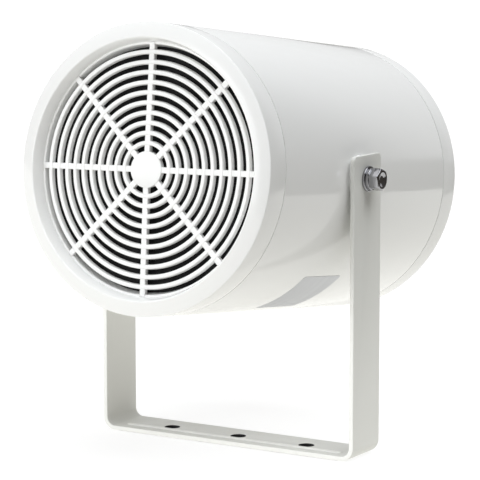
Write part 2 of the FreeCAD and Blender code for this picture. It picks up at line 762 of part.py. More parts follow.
def make_moving_cone():
    former_front = f"({former_back} + former_length)"
    former = ring("voice_coil_former", former_bore, former_outer, former_back, former_front)
    start = f"({former_back} + winding_inset)"
    winding = ring("voice_coil_winding", former_outer, f"{former_outer} + winding_build",
                   start, f"{start} + winding_length")
    cone = sub_part("cone")
    rim = f"({cone_radius} - cone_rim)"
    revolve(cone, "cone_shell", [
        (former_outer, cone_neck), (rim, frame_front), (cone_radius, frame_front),
        (cone_radius, f"{frame_front} - cone_paper"), (rim, f"{frame_front} - cone_paper"),
        (former_outer, f"{cone_neck} - cone_neck_paper"),
    ])
    cap = sub_part("dust_cap")
    ball = "((dust_cap_radius^2 + dust_cap_rise^2)/(2*dust_cap_rise))"
    slope = f"(cone_depth/({rim} - {former_outer}))"
    seat = f"({cone_neck} + (dust_cap_radius - {former_outer})*{slope} + thread_gap)"
    for kind, radius in (("Additive", ball), ("Subtractive", f"{ball} - dust_cap_paper")):
        dome = cap.newObject(f"PartDesign::{kind}Sphere", f"{kind.lower()}_dome")
        dome.AttachmentSupport = [(origin_feature(cap, "XY_Plane"), "")]
        dome.MapMode = "FlatFace"
        bind(dome, ".AttachmentOffset.Base.z", f"{seat} + dust_cap_rise - {ball}")
        bind(dome, "Radius", radius)
        if kind == "Additive":
            bind(dome, "Angle1", f"asin(({ball} - dust_cap_rise)/{ball})")
        doc.recompute()
    for piece in (former, winding, cone, cap):
        on_housing(piece)


def make_driver_suspension():
    inner_edge = f"({roll_circle} - roll_radius - surround_lip)"
    outer_edge = f"({roll_circle} + roll_radius + surround_lip/2)"
    surround = ring("surround", inner_edge, outer_edge, frame_front, f"{frame_front} + surround_thickness")
    for kind, radius in (("Additive", "roll_radius"), ("Subtractive", "roll_radius - surround_thickness")):
        roll = surround.newObject(f"PartDesign::{kind}Torus", f"{kind.lower()}_roll")
        roll.AttachmentSupport = [(origin_feature(surround, "XY_Plane"), "")]
        roll.MapMode = "FlatFace"
        bind(roll, ".AttachmentOffset.Base.z", frame_front)
        bind(roll, "Radius1", roll_circle)
        bind(roll, "Radius2", radius)
        if kind == "Additive":
            roll.Angle1 = -180
            roll.Angle2 = 0
        doc.recompute()
    spider = sub_part("spider")
    folds = int(value("spider_folds"))
    wave_start = f"({former_outer} + spider_neck)"
    wave_end = "(frame_cup_radius - frame_thickness - spider_lip)"
    back = [(former_outer, frame_shelf), (wave_start, frame_shelf)]
    for k in range(1, folds):
        crest = f"{wave_start} + {k}/{folds}*({wave_end} - {wave_start})"
        lift = "spider_wave" if k % 2 else "-spider_wave"
        back.append((crest, f"{frame_shelf} + {lift}"))
    back.append((wave_end, frame_shelf))
    back.append(("frame_shelf_circle - frame_thickness/2 - spider_gap", frame_shelf))
    front = [(r, f"{z} + spider_thickness") for r, z in reversed(back)]
    revolve(spider, "corrugated_disc", back + front)
    for piece in (surround, spider):
        on_housing(piece)


# Line transformer on two bosses inside the tube
def make_transformer():
    core = sub_part("transformer_core")
    half_width, half_height = "(core_width/2)", "(core_height/2)"
    window_in, window_out = "core_limb", "(core_width/2 - core_limb)"
    window_top = "(core_height/2 - core_limb)"
    plates = sketch_on(core, "lamination_outline", "XY_Plane")
    rectangle(plates, f"-{half_width}", f"-{half_height}", half_width, half_height)
    rectangle(plates, window_in, f"-{window_top}", window_out, window_top)
    rectangle(plates, f"-{window_out}", f"-{window_top}", f"-{window_in}", window_top)
    pad(core, "lamination_stack", plates, "core_stack", both_ways=True)
    coil = sub_part("transformer_winding")
    turns = sketch_on(coil, "winding_outline", "XZ_Plane")
    coil_side = f"({window_out} - core_gap)"
    coil_end = "(core_stack/2 + winding_bulge)"
    limb_side, limb_end = "(core_limb + core_gap)", "(core_stack/2 + core_gap)"
    rectangle(turns, f"-{coil_side}", f"-{coil_end}", coil_side, coil_end)
    rectangle(turns, f"-{limb_side}", f"-{limb_end}", limb_side, limb_end)
    pad(coil, "winding_block", turns, f"2*({window_top} - core_gap)", both_ways=True)
    clamp = sub_part("transformer_clamp")
    inside, roof = f"({half_width} + core_gap)", f"({half_height} + core_gap)"
    outside, sole = f"({half_width} + core_gap + clamp_thickness)", f"(clamp_thickness - {half_height})"
    toe = "(foot_spread + foot_end)"
    strap = sketch_on(clamp, "clamp_outline", "XY_Plane")
    right = [(inside, roof), (inside, f"-{half_height}"), (toe, f"-{half_height}"), (toe, sole),
             (outside, sole), (outside, f"{roof} + clamp_thickness")]
    left = [(f"-{x}", y) for x, y in reversed(right)]
    outline(strap, right + left)
    pad(clamp, "clamp_strap", strap, "clamp_width", both_ways=True)
    places = [("-foot_spread", "0"), ("foot_spread", "0")]
    feet = circles(clamp, "foot_hole_circles", "XZ_Plane", "0", places, "foot_screw_radius + bolt_gap")
    pocket(clamp, "foot_holes", feet, both_ways=True)
    screws = screw_group("transformer_screws", "foot_screw", "XZ_Plane", f"-({sole})", places, False)
    for piece in (core, coil, clamp, screws):
        on_housing(piece, y=f"{half_height} - {transformer_seat}", z="-transformer_station")


# Terminal block inside the rear cap
def make_terminal_block():
    block = sub_part("terminal_block")
    face = f"({cap_inner_face} + block_depth)"
    base = sketch_on(block, "block_outline", "XY_Plane", cap_inner_face)
    rectangle(base, "-block_width/2", "block_rise", "block_width/2", "block_rise + block_height")
    pad(block, "block", base, "block_depth")
    places = []
    for k in range(int(value("block_ways"))):
        places.append((f"({k} - (block_ways - 1)/2)*block_pitch", "block_rise + block_height/2"))
    wells = circles(block, "well_circles", "XY_Plane", face, places, "block_screw_radius + bolt_gap")
    pocket(block, "wells", wells, "block_well_depth")
    screws = sub_part("terminal_screws")
    well_floor = f"({face} - block_well_depth)"
    shanks = circles(screws, "terminal_circles", "XY_Plane", well_floor, places, "block_screw_radius")
    pad(screws, "terminal_shanks", shanks, "block_screw_height")
    for piece in (block, screws):
        on_housing(piece)


# Cable gland in the rear cap, with no cable in it
def make_cable_gland():
    shoulder = "(-rear_reach - gland_flange)"
    neck_end = "(-rear_reach - gland_flange - gland_neck)"
    screw_end = f"({cap_inner_face} + gland_tail)"
    gland = sub_part("gland_body")
    flange = sketch_on(gland, "flange_outline", "XY_Plane", shoulder)
    hexagon(flange, "0", "0", "gland_flats", "gland_flange_turn")
    pad(gland, "flange", flange, "gland_flange")
    stem = sketch_on(gland, "stem_circle", "XY_Plane", neck_end)
    circle(stem, "0", "0", "gland_thread_radius")
    pad(gland, "stem", stem, f"{screw_end} - {neck_end}")
    bore = sketch_on(gland, "bore_circle", "XY_Plane", neck_end)
    circle(bore, "0", "0", "gland_bore")
    pocket(gland, "bore", bore, backwards=True)
    locknut = sub_part("gland_locknut")
    nut = sketch_on(locknut, "locknut_outline", "XY_Plane", cap_inner_face)
    hexagon(nut, "0", "0", "gland_flats")
    circle(nut, "0", "0", "gland_thread_radius + thread_gap")
    pad(locknut, "locknut", nut, "gland_nut_height")
    seal = ring("gland_seal", "seal_bore", "gland_bore - thread_gap", neck_end, f"{neck_end} + seal_length")
    cap = sub_part("gland_cap")
    mouth = f"({shoulder} - gland_cap_length)"
    shell = sketch_on(cap, "cap_outline", "XY_Plane", shoulder)
    hexagon(shell, "0", "0", "gland_flats")
    pad(cap, "cap_body", shell, "gland_cap_body", backwards=True)
    revolve(cap, "cap_nose", [
        ("0", mouth), ("gland_nose_radius", mouth), ("gland_flats/2", f"{shoulder} - gland_cap_body"),
        ("0", f"{shoulder} - gland_cap_body"),
    ])
    thread_bore = "(gland_thread_radius + thread_gap)"
    inside = f"({neck_end} - gland_clearance)"
    groove(cap, "cap_bore", [
        ("0", shoulder), (thread_bore, shoulder), (thread_bore, inside),
        ("gland_mouth_radius", inside), ("gland_mouth_radius", mouth), ("0", mouth),
    ])
    for piece in (gland, locknut, seal, cap):
        on_housing(piece, y="-gland_drop")


make_mounting_bracket()
make_front_ring()
make_grille()
make_dust_screen()
make_housing_tube()
make_rear_cap()
make_rear_cap_fittings()
for side_name, side_sign in (("left", -1), ("right", 1)):
    make_pivot_hardware(side_name, side_sign)
make_driver_frame()
make_driver_motor()
make_moving_cone()
make_driver_suspension()
make_transformer()
make_terminal_block()
make_cable_gland()
doc.recompute()

failed = [thing.Name for thing in doc.Objects if "Invalid" in thing.State or "Error" in thing.State]
if failed:
    raise RuntimeError("failed objects: " + ", ".join(failed))
for body in sub_parts:
    if body.Shape.isNull() or not body.Shape.isValid():
        raise RuntimeError("bad shape: " + body.Label)
os.makedirs("parts", exist_ok=True)
for body in sub_parts:
    body.Shape.exportStep(f"parts/{body.Label}.step")
    print(f"{body.Label}: {len(body.Shape.Solids)} solids, {body.Shape.Volume / 1000:.2f} cm3")
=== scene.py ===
# %% [markdown]
# # A sound projector, dressed around its CAD model
# A sound projector is a round loudspeaker in a plastic tube, which tilts in a U bracket of painted steel.
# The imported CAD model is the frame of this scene: every piece below is made in the same metres and axes, so
# it goes where the CAD says. The CAD meshes could simply be painted, and the pieces inside are. The pieces
# that show are made again with rounded edges, because moulded and pressed parts have no sharp corners.

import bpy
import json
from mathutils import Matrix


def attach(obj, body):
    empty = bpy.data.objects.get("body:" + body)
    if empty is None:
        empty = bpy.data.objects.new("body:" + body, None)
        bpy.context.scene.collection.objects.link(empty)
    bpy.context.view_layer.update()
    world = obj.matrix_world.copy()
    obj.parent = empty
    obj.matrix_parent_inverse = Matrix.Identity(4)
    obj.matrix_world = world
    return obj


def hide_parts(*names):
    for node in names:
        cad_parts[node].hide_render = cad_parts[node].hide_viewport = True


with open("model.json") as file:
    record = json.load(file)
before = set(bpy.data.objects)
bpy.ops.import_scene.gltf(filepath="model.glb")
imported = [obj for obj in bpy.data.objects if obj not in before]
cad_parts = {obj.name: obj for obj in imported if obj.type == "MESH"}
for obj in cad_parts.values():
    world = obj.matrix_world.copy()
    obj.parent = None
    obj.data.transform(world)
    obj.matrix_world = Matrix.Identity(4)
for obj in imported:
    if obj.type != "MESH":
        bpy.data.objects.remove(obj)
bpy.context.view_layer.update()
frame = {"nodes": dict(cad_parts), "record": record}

# %% Modules used below
import bpy
import bmesh
import json
import math
from mathutils import Matrix, Vector

scene = bpy.context.scene
print("Blender", bpy.app.version_string)

# %% [markdown]
# ## Where the pieces are
# The housing leans back by a few degrees about its two pivot bolts, so its pieces are easiest to draw in
# its own frame: millimetres, with Z forward along the tube and Y up. A bolt is easiest to draw with Z
# pointing out of its strap. One matrix for each of these frames then carries a finished mesh into the row
# frame, which is safer than working tilted coordinates out by hand.

# %% The housing's frame and the two pivots' frames
MM = 0.001
PIVOT_HEIGHT = 184.0
PIVOT_RISE = 2.0
AIM_TILT = math.radians(6.75)
STRAP_OUTER = 97.8
SIDES = {"left": -1, "right": 1}

IN_ROW = Matrix.Scale(MM, 4)
IN_HOUSING = (
    Matrix.Translation((0, 0, PIVOT_HEIGHT * MM))
    @ Matrix.Rotation(math.pi / 2 - AIM_TILT, 4, "X")
    @ IN_ROW
    @ Matrix.Translation((0, -PIVOT_RISE, 0))
)
AT_PIVOT = {}
for side, sign in SIDES.items():
    AT_PIVOT[side] = (
        Matrix.Translation((sign * STRAP_OUTER * MM, 0, PIVOT_HEIGHT * MM))
        @ Matrix.Rotation(sign * math.pi / 2, 4, "Y")
        @ IN_ROW
    )
print("housing axis points to", [round(v, 3) for v in IN_HOUSING.to_3x3().col[2] / MM])

# %% [markdown]
# ## Camera
# The view is that of a product photograph: a long lens from a little above, to the right of the grille. Its
# place was found by fitting the CAD model's edges to such a view, so no shift is needed. A wide lens close
# by could frame the object too, but would make the front ring swell.

# %% Camera at the photograph's view
LENS_MM = 182.66
CAMERA_PLACE = Vector((0.8376, -1.3750, 0.3728))
CAMERA_TARGET = Vector((0.0009, 0.0007, 0.1366))

camera = bpy.data.objects.new("camera", bpy.data.cameras.new("camera"))
scene.collection.objects.link(camera)
camera.data.lens = LENS_MM
camera.location = CAMERA_PLACE
camera.rotation_euler = (CAMERA_TARGET - CAMERA_PLACE).to_track_quat("-Z", "Y").to_euler()
scene.camera = camera
print("camera distance", round((CAMERA_TARGET - CAMERA_PLACE).length, 3), "m")

# %% [markdown]
# ## Light and floor
# White plastic on white needs light that differs from side to side, or it goes flat. A wide soft lamp above
# and another in front, a little to the left, act as large soft boxes. Both are a trace cooler than white. A
# weak card lights the left side. The object stands on a light table, which glows, so that shadows stay
# faint. The table ends a little to the right, and a leaf of it reaches further behind: the tube's glossy
# flank mirrors that edge as a step from grey to pale. A white backdrop stands behind, and the rest of the
# room is dark, which gives the plated bolts something dark to mirror. Suns with a wide angle are used, not
# area lamps, because they light the floor evenly out to the edge of the picture.


# %% A function for colours
def linear(colour):
    """The linear RGBA of an sRGB hex colour."""
    parts = [int(colour[k:k + 2], 16) / 255 for k in (1, 3, 5)]
    return [p / 12.92 if p <= 0.04045 else ((p + 0.055) / 1.055) ** 2.4 for p in parts] + [1.0]


print("mid grey is", round(linear("#BCBCBC")[0], 3), "in linear light")

# %% Lamps
LAMPS = {
    "top_soft_box": {"from": (0.30, -0.05, 1.0), "strength": 2.70, "spread": 60, "colour": "#FAFDFF"},
    "front_soft_box": {"from": (-0.38, -0.92, 0.12), "strength": 2.02, "spread": 56, "colour": "#FAFCFF"},
    "side_card": {"from": (-0.52, -0.15, 0.85), "strength": 0.25, "spread": 30, "colour": "#FFFFFF"},
}
for name, lamp in LAMPS.items():
    light = bpy.data.lights.new(name, "SUN")
    light.energy = lamp["strength"]
    light.angle = math.radians(lamp["spread"])
    light.color = linear(lamp["colour"])[:3]
    holder = bpy.data.objects.new(name, light)
    holder.rotation_euler = Vector(lamp["from"]).to_track_quat("Z", "Y").to_euler()
    scene.collection.objects.link(holder)
scene.view_settings.view_transform = "Standard"
print("lamps:", ", ".join(LAMPS))


# %% Functions that add a shader node and blend two colours
def add_node(tree, kind, settings):
    """Add a node; a setting names one of its sockets (a value or a link) or one of its own properties."""
    node = tree.nodes.new("ShaderNode" + kind)
    for key, value in settings.items():
        if isinstance(key, str) and key not in node.inputs:
            setattr(node, key, value)
        elif isinstance(value, bpy.types.NodeSocket):
            tree.links.new(value, node.inputs[key])
        else:
            node.inputs[key].default_value = value
    return node


# A colour mix has its share at input 0, its two colours at inputs 6 and 7, and their blend at output 2.
SHARE = 0
FIRST_COLOUR = 6
SECOND_COLOUR = 7
BLENDED = 2


def blend(tree, share, first, second):
    """The socket of a colour that goes from the first to the second as a share goes from 0 to 1."""
    node = add_node(tree, "Mix", {
        "data_type": "RGBA", SHARE: share, FIRST_COLOUR: first, SECOND_COLOUR: second})
    return node.outputs[BLENDED]


print("a shader node has a name such as ShaderNodeBump")

# %% Room and backdrop
WHITE = (1, 1, 1, 1)
ROOM_LOW = "#54504A"
ROOM_HIGH = "#6C6C6C"
BACKDROP_COLOUR = "#E0E0E0"
BACKDROP_WAY = (-0.52, 0.85, 0.0)
BACKDROP_EDGE = math.cos(math.radians(66))
BACKDROP_FULL = math.cos(math.radians(45))
BACKDROP_FOOT = 0.04

scene.world = bpy.data.worlds.new("studio_room")
scene.world.use_nodes = True
room = scene.world.node_tree
direction = add_node(room, "TexCoord", {}).outputs["Generated"]
toward = add_node(room, "VectorMath", {"operation": "DOT_PRODUCT", 0: direction, 1: BACKDROP_WAY})
share = add_node(room, "MapRange", {
    "interpolation_type": "SMOOTHSTEP", "Value": toward.outputs["Value"],
    "From Min": BACKDROP_EDGE, "From Max": BACKDROP_FULL})
height = add_node(room, "SeparateXYZ", {"Vector": direction}).outputs["Z"]
above_foot = add_node(room, "MapRange", {"Value": height, "From Max": BACKDROP_FOOT})
standing = add_node(room, "Math", {
    "operation": "MULTIPLY", 0: share.outputs["Result"], 1: above_foot.outputs["Result"]})
walls = blend(room, height, linear(ROOM_LOW), linear(ROOM_HIGH))
shade = blend(room, standing.outputs["Value"], walls, linear(BACKDROP_COLOUR))
seen = add_node(room, "LightPath", {}).outputs["Is Camera Ray"]
backdrop = blend(room, seen, shade, WHITE)
room.links.new(backdrop, room.nodes["Background"].inputs["Color"])
print("backdrop stands toward", BACKDROP_WAY)

# %% Light table
TABLE_COLOUR = "#909090"
TABLE_ROUGHNESS = 0.9
TABLE_LIGHT = "#FFFEF7"
TABLE_GLOW = 0.78
TABLE_FAR = 30.0
TABLE_RIGHT = 0.38
TABLE_DROP = 0.0004
LEAF_NEAR = 0.15
LEAF_RIGHT = 0.676
LEAF_SLOPE = -0.25


def lay_flat(name, corners, height):
    """Lay a flat sheet of the stage with these corners at a height."""
    form = bmesh.new()
    form.faces.new([form.verts.new((x, y, height)) for x, y in corners])
    mesh = bpy.data.meshes.new(name)
    form.to_mesh(mesh)
    form.free()
    sheet = bpy.data.objects.new(name, mesh)
    scene.collection.objects.link(sheet)
    return sheet


leaf_edge = [(LEAF_RIGHT + LEAF_SLOPE * y, y) for y in (LEAF_NEAR, TABLE_FAR)]
table = lay_flat("light_table", [
    (-TABLE_FAR, -TABLE_FAR), (TABLE_RIGHT, -TABLE_FAR), (TABLE_RIGHT, LEAF_NEAR), *leaf_edge,
    (-TABLE_FAR, TABLE_FAR)], -TABLE_DROP)
opal = bpy.data.materials.new("glowing_opal_acrylic")
opal.use_nodes = True
opal_shader = opal.node_tree.nodes["Principled BSDF"]
opal_shader.inputs["Base Color"].default_value = linear(TABLE_COLOUR)
opal_shader.inputs["Roughness"].default_value = TABLE_ROUGHNESS
opal_shader.inputs["Specular IOR Level"].default_value = 0.0
opal_shader.inputs["Emission Strength"].default_value = TABLE_GLOW
seen = add_node(opal.node_tree, "LightPath", {}).outputs["Is Camera Ray"]
glow = blend(opal.node_tree, seen, linear(TABLE_LIGHT), WHITE)
opal.node_tree.links.new(glow, opal_shader.inputs["Emission Color"])
table.data.materials.append(opal)
print("light table ends", TABLE_RIGHT, "m to the right, and its leaf at", leaf_edge[0])

# %% [markdown]
# ## Materials
# A material here starts from what the real one is and how its surface was made. Plain values sit on the
# shader itself. A fine noise, sized from the real grain in millimetres, adds the small changes of gloss and
# height that keep a surface from looking like a drawing. Painted pictures could do this too, but a pattern
# in the object's own coordinates needs no images and stays sharp at any size.


# %% Functions that start a material and add its grain
RELIEF_DETAIL = 2.0
DRIFT_DETAIL = 3.0
DRIFT_PER_GRAIN = 30
NOISE_LOW = 0.3
NOISE_HIGH = 0.7


def start_material(name, colour, roughness, metallic=0.0, ior=None):
    """A named material with its plain values set, and its node tree, shader and object coordinates."""
    material = bpy.data.materials.new(name)
    material.use_nodes = True
    tree = material.node_tree
    shader = tree.nodes["Principled BSDF"]
    shader.inputs["Base Color"].default_value = linear(colour)
    shader.inputs["Roughness"].default_value = roughness
    shader.inputs["Metallic"].default_value = metallic
    if ior:
        shader.inputs["IOR"].default_value = ior
    place = add_node(tree, "TexCoord", {}).outputs["Object"]
    return material, tree, shader, place


def per_metre(size_mm):
    """The texture scale at which one feature of a noise is this many millimetres across."""
    return 1.0 / (size_mm * MM)


def add_grain(tree, shader, place, grain_mm, depth_mm, gloss):
    """Fine relief of a given grain and depth, and a slow drift of the roughness between two values."""
    relief = add_node(tree, "TexNoise", {
        "Vector": place, "Scale": per_metre(grain_mm), "Detail": RELIEF_DETAIL})
    bump = add_node(tree, "Bump", {
        "Strength": 1.0, "Distance": depth_mm * MM, "Height": relief.outputs["Fac"]})
    tree.links.new(bump.outputs["Normal"], shader.inputs["Normal"])
    drift = add_node(tree, "TexNoise", {
        "Vector": place, "Scale": per_metre(DRIFT_PER_GRAIN * grain_mm), "Detail": DRIFT_DETAIL})
    spread = add_node(tree, "MapRange", {
        "Value": drift.outputs["Fac"], "From Min": NOISE_LOW, "From Max": NOISE_HIGH,
        "To Min": gloss[0], "To Max": gloss[1]})
    tree.links.new(spread.outputs["Result"], shader.inputs["Roughness"])


finishes = {}
print("one millimetre of grain is a scale of", per_metre(1.0))

# %% Moulded white ABS
# ABS, injection moulded in a polished tool: a bright, nearly neutral white with a clear gloss, which
# mirrors the light and dark parts of the room, and the faint waviness that thick walls get as they cool.
finishes["white_abs"], tree, shader, place = start_material(
    "moulded_white_abs", "#F1F1F0", roughness=0.09, ior=1.53)
add_grain(tree, shader, place, grain_mm=1.5, depth_mm=0.004, gloss=(0.06, 0.12))
print(finishes["white_abs"].name)

# %% Powder coated steel
# Polyester powder coat, baked on folded steel: a light warm grey with a satin gloss and the close orange
# peel that the melted powder leaves. The peel is drawn a little coarser than it is, so that it shows.
COAT_COLOUR = "#DCDCD8"
finishes["bracket_paint"], tree, shader, place = start_material(
    "light_grey_powder_coat", COAT_COLOUR, roughness=0.42, ior=1.5)
add_grain(tree, shader, place, grain_mm=1.2, depth_mm=0.012, gloss=(0.36, 0.48))
print(finishes["bracket_paint"].name)

# %% Powder coat with a painted highlight
# The same coat, a little glossier, made paler on the bead and on the strip's edges as a painted highlight:
# palest near the base, and of the coat's own colour further up. The two heights are in metres.
HIGHLIGHT_COAT_COLOUR = "#F4F4F1"
HIGHLIGHT_FULL_BELOW = 0.09
HIGHLIGHT_GONE_ABOVE = 0.14
finishes["coat_painted_highlight"], tree, shader, place = start_material(
    "powder_coat_painted_highlight", HIGHLIGHT_COAT_COLOUR, roughness=0.35, ior=1.5)
height = add_node(tree, "SeparateXYZ", {"Vector": place}).outputs["Z"]
highlight_fade = add_node(tree, "MapRange", {"Value": height, "From Min": HIGHLIGHT_FULL_BELOW, "From Max": HIGHLIGHT_GONE_ABOVE})
highlight_colour = blend(tree, highlight_fade.outputs["Result"], linear(HIGHLIGHT_COAT_COLOUR), linear(COAT_COLOUR))
tree.links.new(highlight_colour, shader.inputs["Base Color"])
add_grain(tree, shader, place, grain_mm=1.2, depth_mm=0.008, gloss=(0.30, 0.40))
print(finishes["coat_painted_highlight"].name)

# %% Bright zinc plate
# Zinc, plated on steel and cleared: a cool metal with hard reflections, dulled a little in patches. Its
# colour is set darker than clean zinc has: painted shade, which darkens all its reflections.
finishes["plated_steel"], tree, shader, place = start_material(
    "bright_zinc_plate", "#A2A2A6", roughness=0.12, metallic=1.0)
add_grain(tree, shader, place, grain_mm=0.5, depth_mm=0.001, gloss=(0.08, 0.16))
print(finishes["plated_steel"].name)

# %% Woven black polyester
# Polyester thread, woven plain and dyed black: almost no light comes back, but the crossing threads show
# as a fine grid. The real thread spacing of about half a millimetre is doubled, so that it shows. A wave
# texture turns by 20 radians in each unit of its scaled coordinates.
THREAD_MM = 1.0
THREAD_LIFT_MM = 0.15
WAVE_RADIANS = 20
CLOTH_GAP = "#020203"
CLOTH_THREAD = "#121215"
CLOTH_SHEEN = 0.08
finishes["black_cloth"], tree, shader, place = start_material(
    "woven_black_polyester", "#17171A", roughness=0.85, ior=1.5)
shader.inputs["Sheen Weight"].default_value = CLOTH_SHEEN
wave_scale = 2 * math.pi / WAVE_RADIANS / MM / THREAD_MM
threads = []
for way in ("X", "Z"):
    threads.append(add_node(tree, "TexWave", {
        "bands_direction": way, "Vector": place, "Scale": wave_scale}))
crossing = add_node(tree, "Math", {
    "operation": "MULTIPLY", 0: threads[0].outputs["Fac"], 1: threads[1].outputs["Fac"]}).outputs["Value"]
weave = blend(tree, crossing, linear(CLOTH_GAP), linear(CLOTH_THREAD))
tree.links.new(weave, shader.inputs["Base Color"])
lift = add_node(tree, "Bump", {"Strength": 1.0, "Distance": THREAD_LIFT_MM * MM, "Height": crossing})
tree.links.new(lift.outputs["Normal"], shader.inputs["Normal"])
print(finishes["black_cloth"].name)

# %% [markdown]
# ## Materials in small places and inside
# The walls of the bracket's holes are small, and they get painted shade. The rubber, the driver, the
# transformer and the gland hardly show, but each gets its real finish. They differ only in a few numbers, so a
# table with one line for each is enough: name, colour, lowest and highest roughness, metallic, index of
# refraction, and grain and relief in millimetres.

# %% The table of other finishes
OTHER_FINISHES = {
    # Painted shade: a near-black finish for the walls of the base's holes, standing in for the shade inside
    # them
    "painted_shade_hole_wall": ("oxidised_bare_steel", "#1C1C1E", (0.60, 0.75), 0.0, 1.5, 0.4, 0.004),
    # Moulded black rubber: dull, with almost no highlight
    "black_rubber": ("moulded_black_rubber", "#232323", (0.70, 0.85), 0.0, 1.52, 0.8, 0.010),
    # Cotton cloth, pressed with resin: dark brown, matt and slightly fuzzy
    "treated_cloth": ("resin_pressed_cloth", "#3E3A36", (0.80, 0.95), 0.0, 1.5, 0.6, 0.060),
    # Stoved black enamel on pressed steel: deep black with soft highlights
    "black_enamel": ("stoved_black_enamel", "#262626", (0.30, 0.42), 0.0, 1.5, 1.5, 0.006),
    # Passivated zinc on turned steel: straw coloured metal
    "motor_steel": ("yellow_passivated_steel", "#B8AE92", (0.28, 0.40), 1.0, None, 0.4, 0.003),
    # Pressed and sintered ferrite: dark grey, dry and grainy
    "ferrite": ("sintered_ferrite", "#343436", (0.60, 0.75), 0.0, 2.3, 0.3, 0.020),
    # Felted paper pulp, dyed black: soft, fibrous and matt
    "cone_paper": ("felted_black_paper", "#303032", (0.85, 0.95), 0.0, 1.5, 0.7, 0.050),
    # Rolled kraft paper: brown and matt
    "former_paper": ("rolled_kraft_paper", "#A0826A", (0.75, 0.90), 0.0, 1.5, 0.5, 0.010),
    # Enamelled copper wire: warm metal under clear lacquer
    "copper_wire": ("enamelled_copper_wire", "#C48668", (0.20, 0.34), 1.0, None, 0.4, 0.030),
    # Varnished steel laminations: blue grey, with soft dull highlights
    "core_steel": ("varnished_laminations", "#86868A", (0.36, 0.52), 1.0, None, 0.5, 0.015),
    # Resin bonded paper board: brown and faintly glossy
    "brown_laminate": ("bonded_paper_board", "#7C5A3F", (0.40, 0.55), 0.0, 1.55, 1.0, 0.005),
    # Moulded nylon: light grey with a waxy satin gloss
    "grey_nylon": ("moulded_grey_nylon", "#CBCBC8", (0.38, 0.50), 0.0, 1.53, 1.0, 0.008),
    # Turned brass, left bare: yellow metal with fine tool marks
    "terminal_brass": ("turned_brass", "#D7BA82", (0.22, 0.34), 1.0, None, 0.3, 0.004),
}
for slot, (name, colour, gloss, metallic, ior, grain_mm, depth_mm) in OTHER_FINISHES.items():
    finishes[slot], tree, shader, place = start_material(name, colour, gloss[0], metallic, ior)
    add_grain(tree, shader, place, grain_mm, depth_mm, gloss)
print(len(finishes), "finishes in all")

# %% [markdown]
# ## Tools for the pieces
# Nearly every piece here is turned or straight in section, so two makers do most of the work: one turns an
# outline about an axis, as on a lathe, and one draws an outline out straight. The outlines have rounded
# corners of their own, which gives even rings of faces; a bevel modifier serves for hexagons and for forms
# that have been cut. Blender's own cylinders and cubes would need the same work again to lose their hard
# edges.


# %% Outlines, turned forms and straight forms
def rounded(corners, steps=5):
    """A closed outline through (x, y, radius) corners, each rounded by its radius."""
    spots = [Vector(corner[:2]) for corner in corners]
    points = []
    for k, corner in enumerate(spots):
        radius = corners[k][2]
        if not radius:
            points.append(corner)
            continue
        to_last = (spots[k - 1] - corner).normalized()
        to_next = (spots[(k + 1) % len(spots)] - corner).normalized()
        half = to_last.angle(to_next) / 2
        centre = corner + (to_last + to_next).normalized() * (radius / math.sin(half))
        first = (corner + to_last * (radius / math.tan(half)) - centre).normalized()
        last = (corner + to_next * (radius / math.tan(half)) - centre).normalized()
        points += [centre + radius * first.slerp(last, step / steps) for step in range(steps + 1)]
    return points


def to_object(form, name):
    """Make an object of a bmesh, with its faces pointing outward."""
    bmesh.ops.recalc_face_normals(form, faces=form.faces)
    mesh = bpy.data.meshes.new(name)
    form.to_mesh(mesh)
    form.free()
    piece = bpy.data.objects.new(name, mesh)
    scene.collection.objects.link(piece)
    return piece


ON_AXIS = 1e-6


def turned(name, outlines, segments=192):
    """Turn closed outlines of (radius, station) about the Z axis."""
    form = bmesh.new()
    for outline in outlines:
        loops = []
        for radius, station in outline:
            loop = []
            for k in range(segments if radius > ON_AXIS else 1):
                angle = 2 * math.pi * k / segments
                loop.append(form.verts.new((radius * math.cos(angle), radius * math.sin(angle), station)))
            loops.append(loop)
        for near, far in zip(loops, loops[1:] + loops[:1]):
            for k in range(segments):
                ends = (near[k % len(near)], near[(k + 1) % len(near)],
                        far[(k + 1) % len(far)], far[k % len(far)])
                corners = list(dict.fromkeys(ends))
                if len(corners) > 2:
                    form.faces.new(corners)
    return to_object(form, name)


def straight(name, outlines, low, high):
    """Draw closed outlines out along Z, from one station to another."""
    form = bmesh.new()
    for outline in outlines:
        foot = [form.verts.new((x, y, low)) for x, y in outline]
        head = [form.verts.new((x, y, high)) for x, y in outline]
        form.faces.new(foot)
        form.faces.new(head)
        for k in range(len(outline)):
            form.faces.new((foot[k - 1], foot[k], head[k], head[k - 1]))
    return to_object(form, name)


def circle(radius, x=0.0, y=0.0, steps=64):
    """A round outline."""
    angles = [2 * math.pi * k / steps for k in range(steps)]
    return [(x + radius * math.cos(a), y + radius * math.sin(a)) for a in angles]


def hexagon(flats, turn=0.0):
    """A hexagon's outline, given across its flats and turned by some degrees."""
    angles = [math.radians(turn + 60 * k) for k in range(6)]
    return [(flats / math.sqrt(3) * math.cos(a), flats / math.sqrt(3) * math.sin(a)) for a in angles]


unit_square = [(0, 0, 0.1), (1, 0, 0.1), (1, 1, 0.1), (0, 1, 0.1)]
print("a unit square with rounded corners has", len(rounded(unit_square)), "points")


# %% Joining, cutting, easing and setting down
# A cutting tool reaches this far past what it cuts, and a joined form this far into what it joins.
PAST = 1.0
# Two rounds with this share of half a width leave a short flat between them, so that no points coincide.
NEARLY_ROUND = 0.98
# The corners of a square about the origin, in order.
SQUARE = ((-1, -1), (1, -1), (1, 1), (-1, 1))
SHARP_ANGLE = math.radians(35)


def settle(piece):
    """Apply a piece's modifiers to its mesh."""
    view = bpy.context.evaluated_depsgraph_get()
    mesh = bpy.data.meshes.new_from_object(piece.evaluated_get(view))
    piece.modifiers.clear()
    piece.data = mesh


